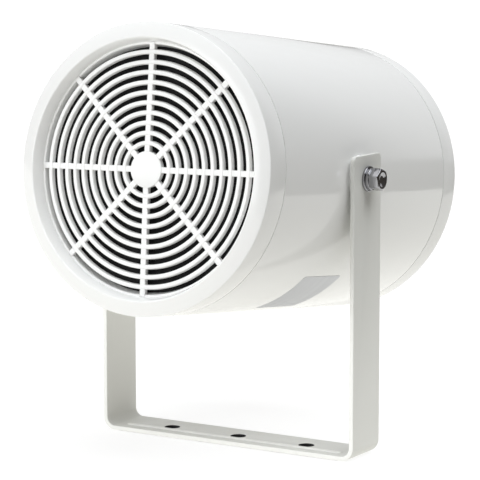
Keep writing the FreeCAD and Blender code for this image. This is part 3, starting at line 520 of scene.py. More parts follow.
def combine(piece, operation, *tools):
    """Join, cut or intersect a piece with others, which are used up."""
    for tool in tools:
        step = piece.modifiers.new(tool.name, "BOOLEAN")
        step.operation = operation
        step.object = tool
        step.solver = "MANIFOLD"
    settle(piece)
    for tool in tools:
        bpy.data.objects.remove(tool)


def copies(piece, places):
    """Replace a piece's mesh by one copy of it at each of several matrices."""
    form = bmesh.new()
    for place in places:
        copy = piece.data.copy()
        copy.transform(place)
        form.from_mesh(copy)
        bpy.data.meshes.remove(copy)
    form.to_mesh(piece.data)
    form.free()


def ease_edges(piece, width, steps=3, angle=40):
    """Round the edges that turn by more than an angle."""
    bevel = piece.modifiers.new("eased_edges", "BEVEL")
    bevel.width = width
    bevel.segments = steps
    bevel.use_clamp_overlap = False
    bevel.limit_method = "ANGLE"
    bevel.angle_limit = math.radians(angle)
    settle(piece)


def smooth(piece):
    """Shade a piece smoothly, apart from its sharp edges."""
    piece.data.shade_smooth()
    piece.data.set_sharp_from_angle(angle=SHARP_ANGLE)


def set_down(piece, place, body, slot, *nodes):
    """Carry a finished piece into the row frame, give it its finish and let it stand for CAD nodes."""
    piece.data.transform(place)
    smooth(piece)
    piece.data.materials.clear()
    piece.data.materials.append(finishes[slot])
    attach(piece, body)
    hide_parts(*nodes)
    print(piece.name, "has", len(piece.data.polygons), "faces")


def recoat(piece, slot, chosen):
    """Give another finish to those faces of a piece, once it is set down, that a test picks."""
    piece.data.materials.append(finishes[slot])
    for face in piece.data.polygons:
        if chosen(face.center / MM, face.normal):
            face.material_index = len(piece.data.materials) - 1


print("tools ready")

# %% [markdown]
# ## Front ring
# The front ring is a moulding that slips over the tube's spigot and clamps the grille. Its face rises a
# little toward a rounded lip, and behind the lip the mouth narrows down to the grille. It is one outline
# turned about the tube's axis. The small rounds at its edges catch the light, and a fine gap behind it shows
# as a seam.

# %% Front ring
TUBE_RADIUS = 92.5
RING_SEAM = 96.1
SEAM_ROUND = 0.3
SEAM_GAP = 0.7
FRONT_REACH = 115.0
FRONT_ROUND = 0.9
LIP_RADIUS = 82.5
LIP_FRONT = 118.7
LIP_ROUND = 1.0
MOUTH_RADIUS = 79.9
MOUTH_WALL = 2.5
LEDGE = 110.0
SKIRT_BORE = 90.4
RING_WALL = 3.0
RING_INNER_ROUND = 0.4
RING_END_ROUND = 0.2

ring_end = RING_SEAM + SEAM_GAP / 2
ring_outline = rounded([
    (TUBE_RADIUS, FRONT_REACH, FRONT_ROUND),
    (LIP_RADIUS, LIP_FRONT, LIP_ROUND),
    (MOUTH_RADIUS, LEDGE, RING_END_ROUND),
    (MOUTH_RADIUS + MOUTH_WALL, LEDGE, RING_END_ROUND),
    (LIP_RADIUS + MOUTH_WALL, LIP_FRONT - RING_WALL, RING_INNER_ROUND),
    (SKIRT_BORE, FRONT_REACH - RING_WALL, RING_INNER_ROUND),
    (SKIRT_BORE, ring_end, RING_END_ROUND),
    (TUBE_RADIUS, ring_end, SEAM_ROUND),
])
front_ring = turned("front_ring_moulding", [ring_outline], segments=256)
set_down(front_ring, IN_HOUSING, "housing", "white_abs", "front_ring")

# %% [markdown]
# ## Grille
# The grille is one moulding: ten bars in rings, eight spokes, a plain hub and a rim under the front ring. The
# bars have rounded fronts, widen toward the back and stand a little prouder than the spokes. The rim slopes
# inward too, so that the part leaves the mould, and the whole front is crowned by about a millimetre toward
# the hub. The bars, rim and hub are turned, the spokes are drawn out straight and sheared to the crown, and
# a boolean joins them, since making one skin of faces by hand would be long and no cleaner.

# %% Grille
RIM_BACK = 103.8
RIM_EDGE = 90.25
SLOT_CIRCLE = 78.7
RIM_DRAFT = 1.4
RIM_ROUND = 0.5
CROWN = 1.3
FRONT_AT_RIM = 110.7
BAR_COUNT = 10
BAR_WIDTH = 2.95
BAR_HEIGHT = 2.65
BAR_DRAFT = 0.45
BAR_FLARE = 0.2
BAR_ROUND = 0.5
HUB_RADIUS = 11.5
HUB_ROUND = 0.5
HUB_SLOT = 3.7
SPOKE_COUNT = 8
SPOKE_HALF = 1.9
SPOKE_STEP = 0.25
SPOKE_DEPTH = 3.2
SPOKE_ROUND = 0.3
GRILLE_TURN = math.radians(1.3)

hub_front = FRONT_AT_RIM + CROWN
spoke_front = hub_front - SPOKE_STEP
hub_back = spoke_front - SPOKE_DEPTH
grille_outlines = [
    rounded([
        (SLOT_CIRCLE - RIM_DRAFT, RIM_BACK, 0), (RIM_EDGE, RIM_BACK, 0),
        (RIM_EDGE, LEDGE, 0), (SLOT_CIRCLE, LEDGE, RIM_ROUND)]),
    rounded([
        (0, hub_back, 0), (HUB_RADIUS, hub_back, 0),
        (HUB_RADIUS, hub_front, HUB_ROUND), (0, hub_front, 0)]),
]
bar_pitch = (SLOT_CIRCLE - HUB_RADIUS - HUB_SLOT) / BAR_COUNT
for k in range(1, BAR_COUNT + 1):
    inner = SLOT_CIRCLE - k * bar_pitch - BAR_FLARE
    outer = inner + BAR_WIDTH + 2 * BAR_FLARE
    bar_front = FRONT_AT_RIM + CROWN * (1 - (inner + outer) / 2 / SLOT_CIRCLE)
    bar_back = bar_front - BAR_HEIGHT
    grille_outlines.append(rounded([
        (inner, bar_back, 0), (outer, bar_back, 0),
        (outer - BAR_DRAFT, bar_front, BAR_ROUND), (inner + BAR_DRAFT, bar_front, BAR_ROUND),
    ]))
grille = turned("grille_moulding", grille_outlines)
spoke_outline = rounded([
    (-hub_back, -SPOKE_HALF, 0), (-hub_back, SPOKE_HALF, 0),
    (-spoke_front, SPOKE_HALF, SPOKE_ROUND), (-spoke_front, -SPOKE_HALF, SPOKE_ROUND),
])
spokes = straight("spokes", [spoke_outline], HUB_RADIUS / 2, SLOT_CIRCLE + PAST)
spokes.data.transform(Matrix.Rotation(math.pi / 2, 4, "Y"))
to_crown = Matrix.Identity(4)
to_crown[2][0] = -CROWN / SLOT_CIRCLE
turns = [GRILLE_TURN + 2 * math.pi * k / SPOKE_COUNT for k in range(SPOKE_COUNT)]
copies(spokes, [Matrix.Rotation(turn, 4, "Z") @ to_crown for turn in turns])
combine(grille, "UNION", spokes)
set_down(grille, IN_HOUSING, "housing", "white_abs", "grille")

# %% [markdown]
# ## Dust screen
# A disc of black cloth is clamped behind the grille, so that dust stays out and the driver doesn't show. It
# is stretched flat, so a thin turned disc is enough, and its weave is left to the material.

# %% Dust screen
SCREEN_RADIUS = 90.1
SCREEN_BACK = 103.2
SCREEN_CLEAR = 0.05
SCREEN_ROUND = 0.2

screen_front = RIM_BACK - SCREEN_CLEAR
screen_outline = rounded([
    (0, SCREEN_BACK, 0), (SCREEN_RADIUS, SCREEN_BACK, SCREEN_ROUND),
    (SCREEN_RADIUS, screen_front, SCREEN_ROUND), (0, screen_front, 0),
], steps=3)
screen = turned("dust_screen_cloth", [screen_outline], segments=128)
set_down(screen, IN_HOUSING, "housing", "black_cloth", "dust_screen")

# %% [markdown]
# ## Housing tube
# The tube is the large moulding that carries everything else: a spigot for the front ring, a baffle for the
# driver, a boss for each pivot bolt and posts for the rear cap's screws. The shell is turned in one, and the
# bosses and posts are joined to it. A plain cylinder would show from outside just as well, but then the mesh
# would be empty where the real moulding isn't.

# %% Housing tube
REAR_SEAM = -121.1
SPIGOT_RADIUS = 90.25
SPIGOT_BORE = 86.15
TUBE_BORE = 88.5
TUBE_END_ROUND = 0.4
BAFFLE_FRONT = 87.0
BAFFLE_FRONT_FILLET = 0.8
BAFFLE_BACK = 82.0
BAFFLE_BACK_FILLET = 1.0
BAFFLE_OPENING = 72.0
BAFFLE_ROUND = 0.6
BOSS_RADIUS = 15.0
BOSS_ROOT = 78.0
BOSS_ROOT_ROUND = 0.8
BOSS_END = 93.3
BOSS_END_ROUND = 0.5
BOLT_CLEAR = 4.3
CAP_SCREWS = 4
CAP_SCREW_CIRCLE = 80.5
FIRST_CAP_SCREW = 45
POST_RADIUS = 5.0
POST_ROOT = 90.5
POST_BACK = REAR_SEAM + 6.0
POST_FRONT = POST_BACK + 20.0
PILOT_RADIUS = 2.05

tube_front = RING_SEAM - SEAM_GAP / 2
tube_back = REAR_SEAM + SEAM_GAP / 2
shell_outline = rounded([
    (TUBE_RADIUS, tube_back, SEAM_ROUND),
    (TUBE_RADIUS, tube_front, SEAM_ROUND),
    (SPIGOT_RADIUS, tube_front, 0),
    (SPIGOT_RADIUS, SCREEN_BACK, TUBE_END_ROUND),
    (SPIGOT_BORE, SCREEN_BACK, TUBE_END_ROUND),
    (SPIGOT_BORE, BAFFLE_FRONT, BAFFLE_FRONT_FILLET),
    (BAFFLE_OPENING, BAFFLE_FRONT, BAFFLE_ROUND),
    (BAFFLE_OPENING, BAFFLE_BACK, BAFFLE_ROUND),
    (TUBE_BORE, BAFFLE_BACK, BAFFLE_BACK_FILLET),
    (TUBE_BORE, tube_back, TUBE_END_ROUND),
])
housing = turned("housing_tube_moulding", [shell_outline], segments=256)
boss_outline = rounded([
    (0, BOSS_ROOT, 0), (BOSS_RADIUS, BOSS_ROOT, BOSS_ROOT_ROUND),
    (BOSS_RADIUS, BOSS_END, BOSS_END_ROUND), (0, BOSS_END, 0)])
bosses = turned("bosses", [boss_outline], segments=96)
outward = []
for sign in SIDES.values():
    sideways = Matrix.Rotation(sign * math.pi / 2, 4, "Y")
    outward.append(Matrix.Translation((0, PIVOT_RISE, 0)) @ sideways)
copies(bosses, outward)
screw_turns = [math.radians(FIRST_CAP_SCREW + 360 / CAP_SCREWS * k) for k in range(CAP_SCREWS)]
screw_ways = [Matrix.Rotation(turn, 4, "Z") for turn in screw_turns]
post_inner = CAP_SCREW_CIRCLE - POST_RADIUS
post_round = POST_RADIUS * NEARLY_ROUND
post_outline = rounded([
    (post_inner, -POST_RADIUS, post_round), (POST_ROOT, -POST_RADIUS, 0),
    (POST_ROOT, POST_RADIUS, 0), (post_inner, POST_RADIUS, post_round)], steps=12)
posts = straight("posts", [post_outline], POST_BACK, POST_FRONT)
copies(posts, screw_ways)
combine(housing, "UNION", bosses, posts)
bores = straight("bores", [circle(BOLT_CLEAR)], BOSS_ROOT - PAST, BOSS_END + PAST)
copies(bores, outward)
pilot_outline = circle(PILOT_RADIUS, CAP_SCREW_CIRCLE, 0, steps=32)
pilots = straight("pilots", [pilot_outline], POST_BACK - PAST, POST_FRONT + PAST)
copies(pilots, screw_ways)
combine(housing, "DIFFERENCE", bores, pilots)
set_down(housing, IN_HOUSING, "housing", "white_abs", "housing_tube")

# %% [markdown]
# ## Rear cap
# The rear cap is a shallow moulded cup that plugs the back of the tube on a rubber ring. Four screws sit
# deep in round recesses, and the cable gland has its hole below. A turned cup with its posts joined and its
# holes cut gives the same form as the mould.

# %% Rear cap
REAR_FACE = -141.1
REAR_ROUND = 4.0
CAP_INNER = REAR_FACE + 3.5
CAP_BORE = 89.0
CAP_FILLET = 1.5
CAP_SPIGOT = 88.35
CAP_SPIGOT_BORE = 85.35
CAP_END_ROUND = 0.3
GASKET_FLOOR = 86.55
GROOVE_NEAR = REAR_SEAM + 2.0
GROOVE_FAR = REAR_SEAM + 4.0
NECK_FRONT = REAR_SEAM - 1.7
NECK_BACK = REAR_SEAM - 5.1
RECESS_RADIUS = 4.3
RECESS_DEPTH = 4.5
RECESS_CHAMFER = 0.4
RECESS_ROUND = 0.3
GLAND_DROP = 48.0
GLAND_HOLE = 8.2

cap_front = REAR_SEAM - SEAM_GAP / 2
cup_outline = rounded([
    (0, REAR_FACE, 0),
    (TUBE_RADIUS, REAR_FACE, REAR_ROUND),
    (TUBE_RADIUS, cap_front, SEAM_ROUND),
    (CAP_SPIGOT, cap_front, 0),
    (CAP_SPIGOT, GROOVE_NEAR, 0),
    (GASKET_FLOOR, GROOVE_NEAR, 0),
    (GASKET_FLOOR, GROOVE_FAR, 0),
    (CAP_SPIGOT, GROOVE_FAR, 0),
    (CAP_SPIGOT, POST_BACK, CAP_END_ROUND),
    (CAP_SPIGOT_BORE, POST_BACK, CAP_END_ROUND),
    (CAP_SPIGOT_BORE, NECK_FRONT, 0),
    (CAP_BORE, NECK_BACK, 0),
    (CAP_BORE, CAP_INNER, CAP_FILLET),
    (0, CAP_INNER, 0),
], steps=8)
cap = turned("rear_cap_moulding", [cup_outline], segments=256)
cap_post = circle(POST_RADIUS, CAP_SCREW_CIRCLE, 0)
cap_posts = straight("cap_posts", [cap_post], CAP_INNER - PAST, POST_BACK)
copies(cap_posts, screw_ways)
combine(cap, "UNION", cap_posts)
recess_floor = REAR_FACE + RECESS_DEPTH
recess_outline = rounded([
    (0, REAR_FACE - 2 * PAST, 0),
    (RECESS_RADIUS + 2 * PAST, REAR_FACE - 2 * PAST, 0),
    (RECESS_RADIUS + RECESS_CHAMFER, REAR_FACE, 0),
    (RECESS_RADIUS, REAR_FACE + RECESS_CHAMFER, 0),
    (RECESS_RADIUS, recess_floor, RECESS_ROUND),
    (PILOT_RADIUS, recess_floor, 0),
    (PILOT_RADIUS, POST_BACK + PAST, 0),
    (0, POST_BACK + PAST, 0),
])
recesses = turned("recesses", [recess_outline], segments=64)
at_screws = [way @ Matrix.Translation((CAP_SCREW_CIRCLE, 0, 0)) for way in screw_ways]
copies(recesses, at_screws)
gland_outline = circle(GLAND_HOLE, 0, -GLAND_DROP)
gland_hole = straight("gland_hole", [gland_outline], REAR_FACE - PAST, CAP_INNER + PAST)
combine(cap, "DIFFERENCE", recesses, gland_hole)
set_down(cap, IN_HOUSING, "housing", "white_abs", "rear_cap")

# %% [markdown]
# ## Mounting bracket
# The bracket is one steel strip, punched, folded to a U and then powder coated, so its edges are softly
# rounded by the paint. A low bead along the base stiffens it. The paint of the bead and of the strip's lower
# edges is made paler as a painted highlight, and the walls of the base's holes are made dark as painted
# shade. A U outline is drawn out to the strip's width, its tops are trimmed to rounded corners, the holes are
# cut, a small bevel stands for the coat, and the bead is joined on. Bending a flat strip with a modifier
# could do it too, but the folds are then harder to place exactly.

# %% Mounting bracket
STRAP_GAP = 94.8
STRAP_THICKNESS = 3.0
STRAP_HALF = 18.0
STRAP_TOP = 199.5
STRAP_CORNER = 3.5
BEND = 6.0
BASE_HOLE = 5.25
BASE_PITCH = 53.0
BEAD_PLACE = -8.4
BEAD_HALF = 2.0
BEAD_HEIGHT = 0.5
BEAD_ROUND = 0.3
BEAD_REACH = 84.0
COAT_ROUND = 0.45
EDGE_BAND = 0.2
ABOVE_BASE = 0.02
WALL_BAND = 0.08
WALL_LEAN = 0.6

u_outline = rounded([
    (-STRAP_OUTER, 0, BEND + STRAP_THICKNESS), (STRAP_OUTER, 0, BEND + STRAP_THICKNESS),
    (STRAP_OUTER, STRAP_TOP, 0), (STRAP_GAP, STRAP_TOP, 0), (STRAP_GAP, STRAP_THICKNESS, BEND),
    (-STRAP_GAP, STRAP_THICKNESS, BEND), (-STRAP_GAP, STRAP_TOP, 0), (-STRAP_OUTER, STRAP_TOP, 0),
], steps=12)
ALONG_Y = Matrix.Rotation(math.pi / 2, 4, "X")
ALONG_X = Matrix(((0, 0, 1, 0), (1, 0, 0, 0), (0, 1, 0, 0), (0, 0, 0, 1)))
bracket = straight("bracket_strip", [u_outline], -STRAP_HALF, STRAP_HALF)
bracket.data.transform(ALONG_Y)
trim_outline = rounded([
    (-STRAP_HALF, -PAST, 0), (STRAP_HALF, -PAST, 0),
    (STRAP_HALF, STRAP_TOP, STRAP_CORNER), (-STRAP_HALF, STRAP_TOP, STRAP_CORNER)], steps=8)
trim = straight("trim", [trim_outline], -STRAP_OUTER - PAST, STRAP_OUTER + PAST)
trim.data.transform(ALONG_X)
combine(bracket, "INTERSECT", trim)
pivot_outline = circle(BOLT_CLEAR, 0, PIVOT_HEIGHT)
pivot_holes = straight("pivot_holes", [pivot_outline], -STRAP_OUTER - PAST, STRAP_OUTER + PAST)
pivot_holes.data.transform(ALONG_X)
hole_places = (-BASE_PITCH, 0, BASE_PITCH)
hole_outlines = [circle(BASE_HOLE, x) for x in hole_places]
base_holes = straight("base_holes", hole_outlines, -PAST, STRAP_THICKNESS + PAST)
combine(bracket, "DIFFERENCE", pivot_holes, base_holes)
ease_edges(bracket, COAT_ROUND)
bead_outline = rounded([
    (x * BEAD_REACH, BEAD_PLACE + y * BEAD_HALF, NEARLY_ROUND * BEAD_HALF) for x, y in SQUARE], steps=10)
bead = straight("bead", [bead_outline], STRAP_THICKNESS - PAST, STRAP_THICKNESS + BEAD_HEIGHT)
ease_edges(bead, BEAD_ROUND, steps=4)
combine(bracket, "UNION", bead)
set_down(bracket, IN_ROW, "bracket", "bracket_paint", "mounting_bracket")


def is_painted_highlight(spot, normal):
    """Whether a face is on one of the strip's long edges or on the bead along the base, where a painted
    highlight goes.
    """
    on_edge = abs(spot.y) > STRAP_HALF - EDGE_BAND
    along_bead = abs(spot.x) < BEAD_REACH and abs(spot.y - BEAD_PLACE) < BEAD_HALF + EDGE_BAND
    on_bead = along_bead and STRAP_THICKNESS + ABOVE_BASE < spot.z < STRAP_THICKNESS + 2 * BEAD_HEIGHT
    return on_edge or on_bead


def in_base_hole(spot, normal):
    """Whether a face is part of the wall of a hole in the base, where painted shade goes."""
    off_hole = min(math.hypot(spot.x - x, spot.y) for x in hole_places)
    return off_hole < BASE_HOLE + WALL_BAND and abs(normal.z) < WALL_LEAN


# The bead and the strip's edges get a painted highlight, and the walls of the base's holes painted shade.
recoat(bracket, "coat_painted_highlight", is_painted_highlight)
recoat(bracket, "painted_shade_hole_wall", in_base_hole)

# %% [markdown]
# ## Painted shade under the base
# The light table would shine up through the base's holes. A thin black sheet, hidden by the base, is laid
# there as painted shade, so that the holes look dark. It belongs to the stage and not to the object.

# %% Painted shade under the base
SHADE_SHEET_DROP = 0.0002
SHADE_SHEET_LENGTH = 0.172
SHADE_SHEET_WIDTH = 0.034

shade_sheet_corners = [(x * SHADE_SHEET_LENGTH / 2, y * SHADE_SHEET_WIDTH / 2) for x, y in SQUARE]
shade_sheet = lay_flat("painted_shade_sheet", shade_sheet_corners, -SHADE_SHEET_DROP)
# The sheet takes the black rubber finish as painted shade.
shade_sheet.data.materials.append(finishes["black_rubber"])
print("mat covers", SHADE_SHEET_LENGTH, "by", SHADE_SHEET_WIDTH, "m")

# %% [markdown]
# ## Pivot hardware
# On each side a bolt with a hexagon head presses a spring washer, a flat washer, the strap and a rubber
# washer against the housing's boss. The head is forged: its end is dished, and a chamfer trims its corners.
# The head is a hexagon intersected with a turned cone, and the dish is cut out of it. The spring washer is a
# turned ring with a slanted split.

# %% Bolts, washers and rubber washers
HEAD_SEAT = 4.0
HEAD_TOP = 10.8
HEAD_FLATS = 13.0
HEAD_TURN = 10.0
HEAD_ROUND = 0.15
HEAD_EDGE = 20
CHAMFER_CIRCLE = 6.1
CHAMFER_SLOPE = math.tan(math.radians(30))
DISH_FLOOR = 9.9
DISH_FLAT = 2.6
DISH_RADIUS = 4.7
DISH_ROUND = 1.2
SHANK_RADIUS = 4.0
SHANK_END = -21.0
SHANK_ROUND = 0.8
WASHER_TOP = 1.8
FLAT_RADIUS = 8.3
FLAT_ROUNDS = (0.2, 0.3, 0.4, 0.2)
SPRING_RADIUS = 7.3
SPRING_ROUNDS = (0.3, 0.4, 0.4, 0.3)
SPLIT_WIDTH = 1.2
SPLIT_SLANT = math.radians(18)
SPLIT_FROM = 2
SPLIT_TO = 9
SPLIT_PAST = 3
RUBBER_RADIUS = 11.0
RUBBER_INNER = -4.5
RUBBER_OUTER = -3.0
RUBBER_ROUNDS = (0, 0.4, 0.4, 0)


def washer(name, radius, low, high, rounds):
    """A washer round the bolt; its rounds go from the bore's lower corner round to its upper one."""
    corners = ((BOLT_CLEAR, low), (radius, low), (radius, high), (BOLT_CLEAR, high))
    outline = rounded([(*corner, size) for corner, size in zip(corners, rounds)])
    return turned(name, [outline], segments=96)


past_corners = HEAD_FLATS / math.sqrt(3) + PAST
chamfer_foot = HEAD_TOP - (past_corners - CHAMFER_CIRCLE) * CHAMFER_SLOPE
chamfer_head = HEAD_TOP + PAST * CHAMFER_SLOPE
chamfer_outline = [
    (0, HEAD_SEAT - PAST), (past_corners, HEAD_SEAT - PAST), (past_corners, chamfer_foot),
    (CHAMFER_CIRCLE - PAST, chamfer_head), (0, chamfer_head)]
dish_outline = rounded([
    (0, DISH_FLOOR, 0), (DISH_FLAT, DISH_FLOOR, DISH_ROUND), (DISH_RADIUS, HEAD_TOP, 0),
    (DISH_RADIUS, HEAD_TOP + PAST, 0), (0, HEAD_TOP + PAST, 0)])
shank_outline = rounded([
    (0, SHANK_END, 0), (SHANK_RADIUS, SHANK_END, SHANK_ROUND),
    (SHANK_RADIUS, HEAD_SEAT + PAST, 0), (0, HEAD_SEAT + PAST, 0)])
half = SPLIT_WIDTH / 2
split_outline = [(SPLIT_FROM, -half), (SPLIT_TO, -half), (SPLIT_TO, half), (SPLIT_FROM, half)]
middle = Matrix.Translation((0, 0, (WASHER_TOP + HEAD_SEAT) / 2))
slant = middle @ Matrix.Rotation(SPLIT_SLANT, 4, "X") @ middle.inverted()

for side, sign in SIDES.items():
    head_outline = hexagon(HEAD_FLATS, sign * HEAD_TURN)
    bolt = straight("pivot_bolt_" + side + "_forged", [head_outline], HEAD_SEAT, HEAD_TOP)
    combine(bolt, "INTERSECT", turned("chamfer", [chamfer_outline], segments=96))
    combine(bolt, "DIFFERENCE", turned("dish", [dish_outline], segments=96))
    ease_edges(bolt, HEAD_ROUND, angle=HEAD_EDGE)
    combine(bolt, "UNION", turned("shank", [shank_outline], segments=64))
    set_down(bolt, AT_PIVOT[side], "housing", "plated_steel", "pivot_bolt_" + side)
    flat = washer("flat_washer_" + side + "_pressed", FLAT_RADIUS, 0, WASHER_TOP, FLAT_ROUNDS)
    set_down(flat, AT_PIVOT[side], "housing", "plated_steel", "flat_washer_" + side)
    spring = washer(
        "spring_washer_" + side + "_coiled", SPRING_RADIUS, WASHER_TOP, HEAD_SEAT, SPRING_ROUNDS)
    split = straight("split", [split_outline], WASHER_TOP - SPLIT_PAST, HEAD_SEAT + SPLIT_PAST)
    split.data.transform(slant)
    combine(spring, "DIFFERENCE", split)
    set_down(spring, AT_PIVOT[side], "housing", "plated_steel", "spring_washer_" + side)
    rubber = washer(
        "friction_washer_" + side + "_rubber", RUBBER_RADIUS, RUBBER_INNER, RUBBER_OUTER, RUBBER_ROUNDS)
    set_down(rubber, AT_PIVOT[side], "housing", "black_rubber", "friction_washer_" + side)

# %% [markdown]
# ## Rear cap screws
# The cap is held by four pan head screws with cross recesses. One screw is turned, a cross is cut into its
# head, and it is copied to the four places, a quarter turn apart, each driven home to another angle.

# %% Rear cap screws
SCREW_SEAT = REAR_FACE + RECESS_DEPTH
SCREW_HEAD = 4.0
SCREW_HEAD_TOP = SCREW_SEAT - 3.0
SCREW_CROWN = 3.0
SCREW_CROWN_DROP = 1.2
CROWN_ROUND = 0.6
HEAD_SIDE_ROUND = 0.8
SCREW_SHANK = 2.0
SCREW_TIP = SCREW_SEAT + 32.0
SCREW_TIP_RADIUS = 0.8
SCREW_TIP_LENGTH = 1.5
TIP_START_ROUND = 0.4
SCREW_EDGE_ROUND = 0.2
CROSS_REACH = 2.3
CROSS_HALF = 0.45
CROSS_ROUND = 0.2
CROSS_DEPTH = 1.7
SCREW_TWIST = 2.3

screw_outline = rounded([
    (0, SCREW_HEAD_TOP, 0),
    (SCREW_CROWN, SCREW_HEAD_TOP, CROWN_ROUND),
    (SCREW_HEAD, SCREW_HEAD_TOP + SCREW_CROWN_DROP, HEAD_SIDE_ROUND),
    (SCREW_HEAD, SCREW_SEAT, SCREW_EDGE_ROUND),
    (SCREW_SHANK, SCREW_SEAT, 0),
    (SCREW_SHANK, SCREW_TIP - SCREW_TIP_LENGTH, TIP_START_ROUND),
    (SCREW_TIP_RADIUS, SCREW_TIP, SCREW_EDGE_ROUND),
    (0, SCREW_TIP, 0),
])
screws = turned("rear_cap_screws_cross", [screw_outline], segments=48)
cross_corners = []
for c, s in ((1, 0), (0, 1), (-1, 0), (0, -1)):
    for x, y in ((CROSS_REACH, -CROSS_HALF), (CROSS_REACH, CROSS_HALF), (CROSS_HALF, CROSS_HALF)):
        cross_corners.append((c * x - s * y, s * x + c * y, CROSS_ROUND))
cross_outline = rounded(cross_corners, steps=3)
cross = straight("cross", [cross_outline], SCREW_HEAD_TOP - PAST, SCREW_HEAD_TOP + CROSS_DEPTH)
combine(screws, "DIFFERENCE", cross)
copies(screws, [
    at_screw @ Matrix.Rotation(SCREW_TWIST * turn, 4, "Z") for at_screw, turn in zip(at_screws, screw_turns)])
set_down(screws, IN_HOUSING, "housing", "plated_steel", "rear_cap_screws")

# %% [markdown]
# ## Cable gland
# The cable enters through a nylon gland: a body with a hexagon flange, and a cap nut with a tapered nose that
# squeezes a rubber seal. Both are hexagons joined with turned forms and bored through; no cable is fitted.

# %% Cable gland
GLAND_FLATS = 22.0
GLAND_SHOULDER = REAR_FACE - 5.0
GLAND_NECK_END = GLAND_SHOULDER - 8.0
GLAND_TAIL_END = CAP_INNER + 9.0
GLAND_CAP_FOOT = GLAND_SHOULDER - 9.0
GLAND_MOUTH = GLAND_SHOULDER - 15.0
FLANGE_TURN = 30
FLANGE_ROUND = 0.5
STEM_RADIUS = 8.0
STEM_ROUND = 0.5
STEM_BORE = 5.2
NUT_ROUND = 0.6
NUT_BORE = 8.05
NUT_FLOOR = GLAND_NECK_END - 0.2
NOSE_RADIUS = 7.2
NOSE_ROUND = 1.2
GLAND_FLARE = 5.5
MOUTH_DEPTH = 0.6
MOUTH_ROUND = 0.4
CABLE_BORE = 4.5
AT_GLAND = IN_HOUSING @ Matrix.Translation((0, -GLAND_DROP, 0))

gland = straight("gland_body_moulding", [hexagon(GLAND_FLATS, FLANGE_TURN)], GLAND_SHOULDER, REAR_FACE)
ease_edges(gland, FLANGE_ROUND)
stem_outline = rounded([
    (0, GLAND_NECK_END, 0), (STEM_RADIUS, GLAND_NECK_END, STEM_ROUND),
    (STEM_RADIUS, GLAND_TAIL_END, STEM_ROUND), (0, GLAND_TAIL_END, 0)])
combine(gland, "UNION", turned("stem", [stem_outline], segments=96))
gland_bore = straight("gland_bore", [circle(STEM_BORE)], GLAND_NECK_END - PAST, GLAND_TAIL_END + PAST)
combine(gland, "DIFFERENCE", gland_bore)
set_down(gland, AT_GLAND, "housing", "grey_nylon", "gland_body")

gland_cap = straight("gland_cap_moulding", [hexagon(GLAND_FLATS)], GLAND_CAP_FOOT, GLAND_SHOULDER)
ease_edges(gland_cap, NUT_ROUND)
nose_outline = rounded([
    (0, GLAND_MOUTH, 0), (NOSE_RADIUS, GLAND_MOUTH, NOSE_ROUND), (GLAND_FLATS / 2, GLAND_CAP_FOOT, 0),
    (GLAND_FLATS / 2, GLAND_CAP_FOOT + PAST, 0), (0, GLAND_CAP_FOOT + PAST, 0)])
combine(gland_cap, "UNION", turned("nose", [nose_outline], segments=96))
cap_bore_outline = rounded([
    (0, GLAND_MOUTH - PAST, 0),
    (GLAND_FLARE, GLAND_MOUTH - PAST, 0),
    (CABLE_BORE, GLAND_MOUTH + MOUTH_DEPTH, MOUTH_ROUND),
    (CABLE_BORE, NUT_FLOOR, 0),
    (NUT_BORE, NUT_FLOOR, 0),
    (NUT_BORE, GLAND_SHOULDER + PAST, 0),
    (0, GLAND_SHOULDER + PAST, 0),
])
combine(gland_cap, "DIFFERENCE", turned("cap_bore", [cap_bore_outline], segments=96))
set_down(gland_cap, AT_GLAND, "housing", "grey_nylon", "gland_cap")

# %% [markdown]
# ## Rating plate
# Low on the tube's side is a thin, bare plate of silver foil. Its mesh is a thin skin that follows the tube,
# with rounded corners and its own edge.

# %% Bare rating plate
PLATE_FRONT = 20.0
PLATE_BACK = -28.3
PLATE_FIRST = math.radians(-43.5)
PLATE_LAST = math.radians(-70)
PLATE_CORNER = 2.0
PLATE_THICKNESS = 0.15
PLATE_BEVEL = 0.1
PLATE_SUNK = 0.05
PLATE_ROWS = 60
FOIL_STRETCH = 12.0

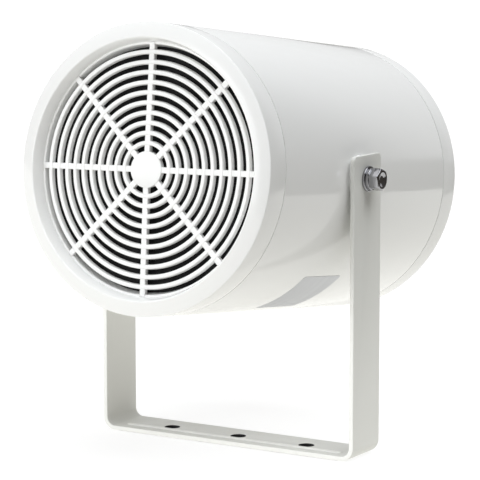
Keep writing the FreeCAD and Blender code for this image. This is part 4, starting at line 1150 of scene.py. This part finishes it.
# Aluminium foil with a satin lacquer: a pale silver grey with a blurred sheen along fine rolling lines.
foil, tree, shader, place = start_material("satin_aluminium_foil", "#C0C1C4", roughness=0.42, metallic=1.0)
stretch = add_node(tree, "Mapping", {"Vector": place, "Scale": (1.0, FOIL_STRETCH, 1.0)})
add_grain(tree, shader, stretch.outputs["Vector"], grain_mm=3.0, depth_mm=0.003, gloss=(0.38, 0.50))

skin = bmesh.new()
arc_length = TUBE_RADIUS * abs(PLATE_LAST - PLATE_FIRST)
rows = []
for k in range(PLATE_ROWS + 1):
    share = 0.5 - 0.5 * math.cos(math.pi * k / PLATE_ROWS)
    from_end = min(share, 1 - share) * arc_length
    inset = 0.0
    if from_end < PLATE_CORNER:
        inset = PLATE_CORNER - math.sqrt(PLATE_CORNER ** 2 - (PLATE_CORNER - from_end) ** 2)
    angle = PLATE_FIRST + share * (PLATE_LAST - PLATE_FIRST)
    section = (
        (TUBE_RADIUS - PLATE_SUNK, PLATE_FRONT - inset),
        (TUBE_RADIUS + PLATE_THICKNESS, PLATE_FRONT - inset - PLATE_BEVEL),
        (TUBE_RADIUS + PLATE_THICKNESS, PLATE_BACK + inset + PLATE_BEVEL),
        (TUBE_RADIUS - PLATE_SUNK, PLATE_BACK + inset),
    )
    row = []
    for radius, station in section:
        row.append(skin.verts.new((radius * math.cos(angle), radius * math.sin(angle), station)))
    rows.append(row)
for near, far in zip(rows, rows[1:]):
    for k in range(len(near)):
        skin.faces.new((near[k - 1], near[k], far[k], far[k - 1]))
skin.faces.new(rows[0])
skin.faces.new(rows[-1])
plate = to_object(skin, "bare_rating_plate")
plate.data.transform(IN_HOUSING)
smooth(plate)
plate.data.materials.append(foil)
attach(plate, "housing")
print(plate.name, "is", round(arc_length, 1), "mm round the tube")

# %% [markdown]
# ## Pieces kept from the CAD model
# The gaskets, the nuts, the driver, the transformer, the terminal block and the gland's seal and locknut sit
# inside, where the CAD meshes are right as they are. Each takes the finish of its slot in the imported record.

# %% Finishes for the CAD nodes that stay
slot_of = {row["node"]: row["material_slot"] for row in frame["record"]["subparts"]}
kept = []
for name, node in frame["nodes"].items():
    if node.hide_render:
        continue
    node.data.materials.clear()
    node.data.materials.append(finishes[slot_of[name]])
    kept.append(name)
print(len(kept), "CAD nodes keep their meshes")
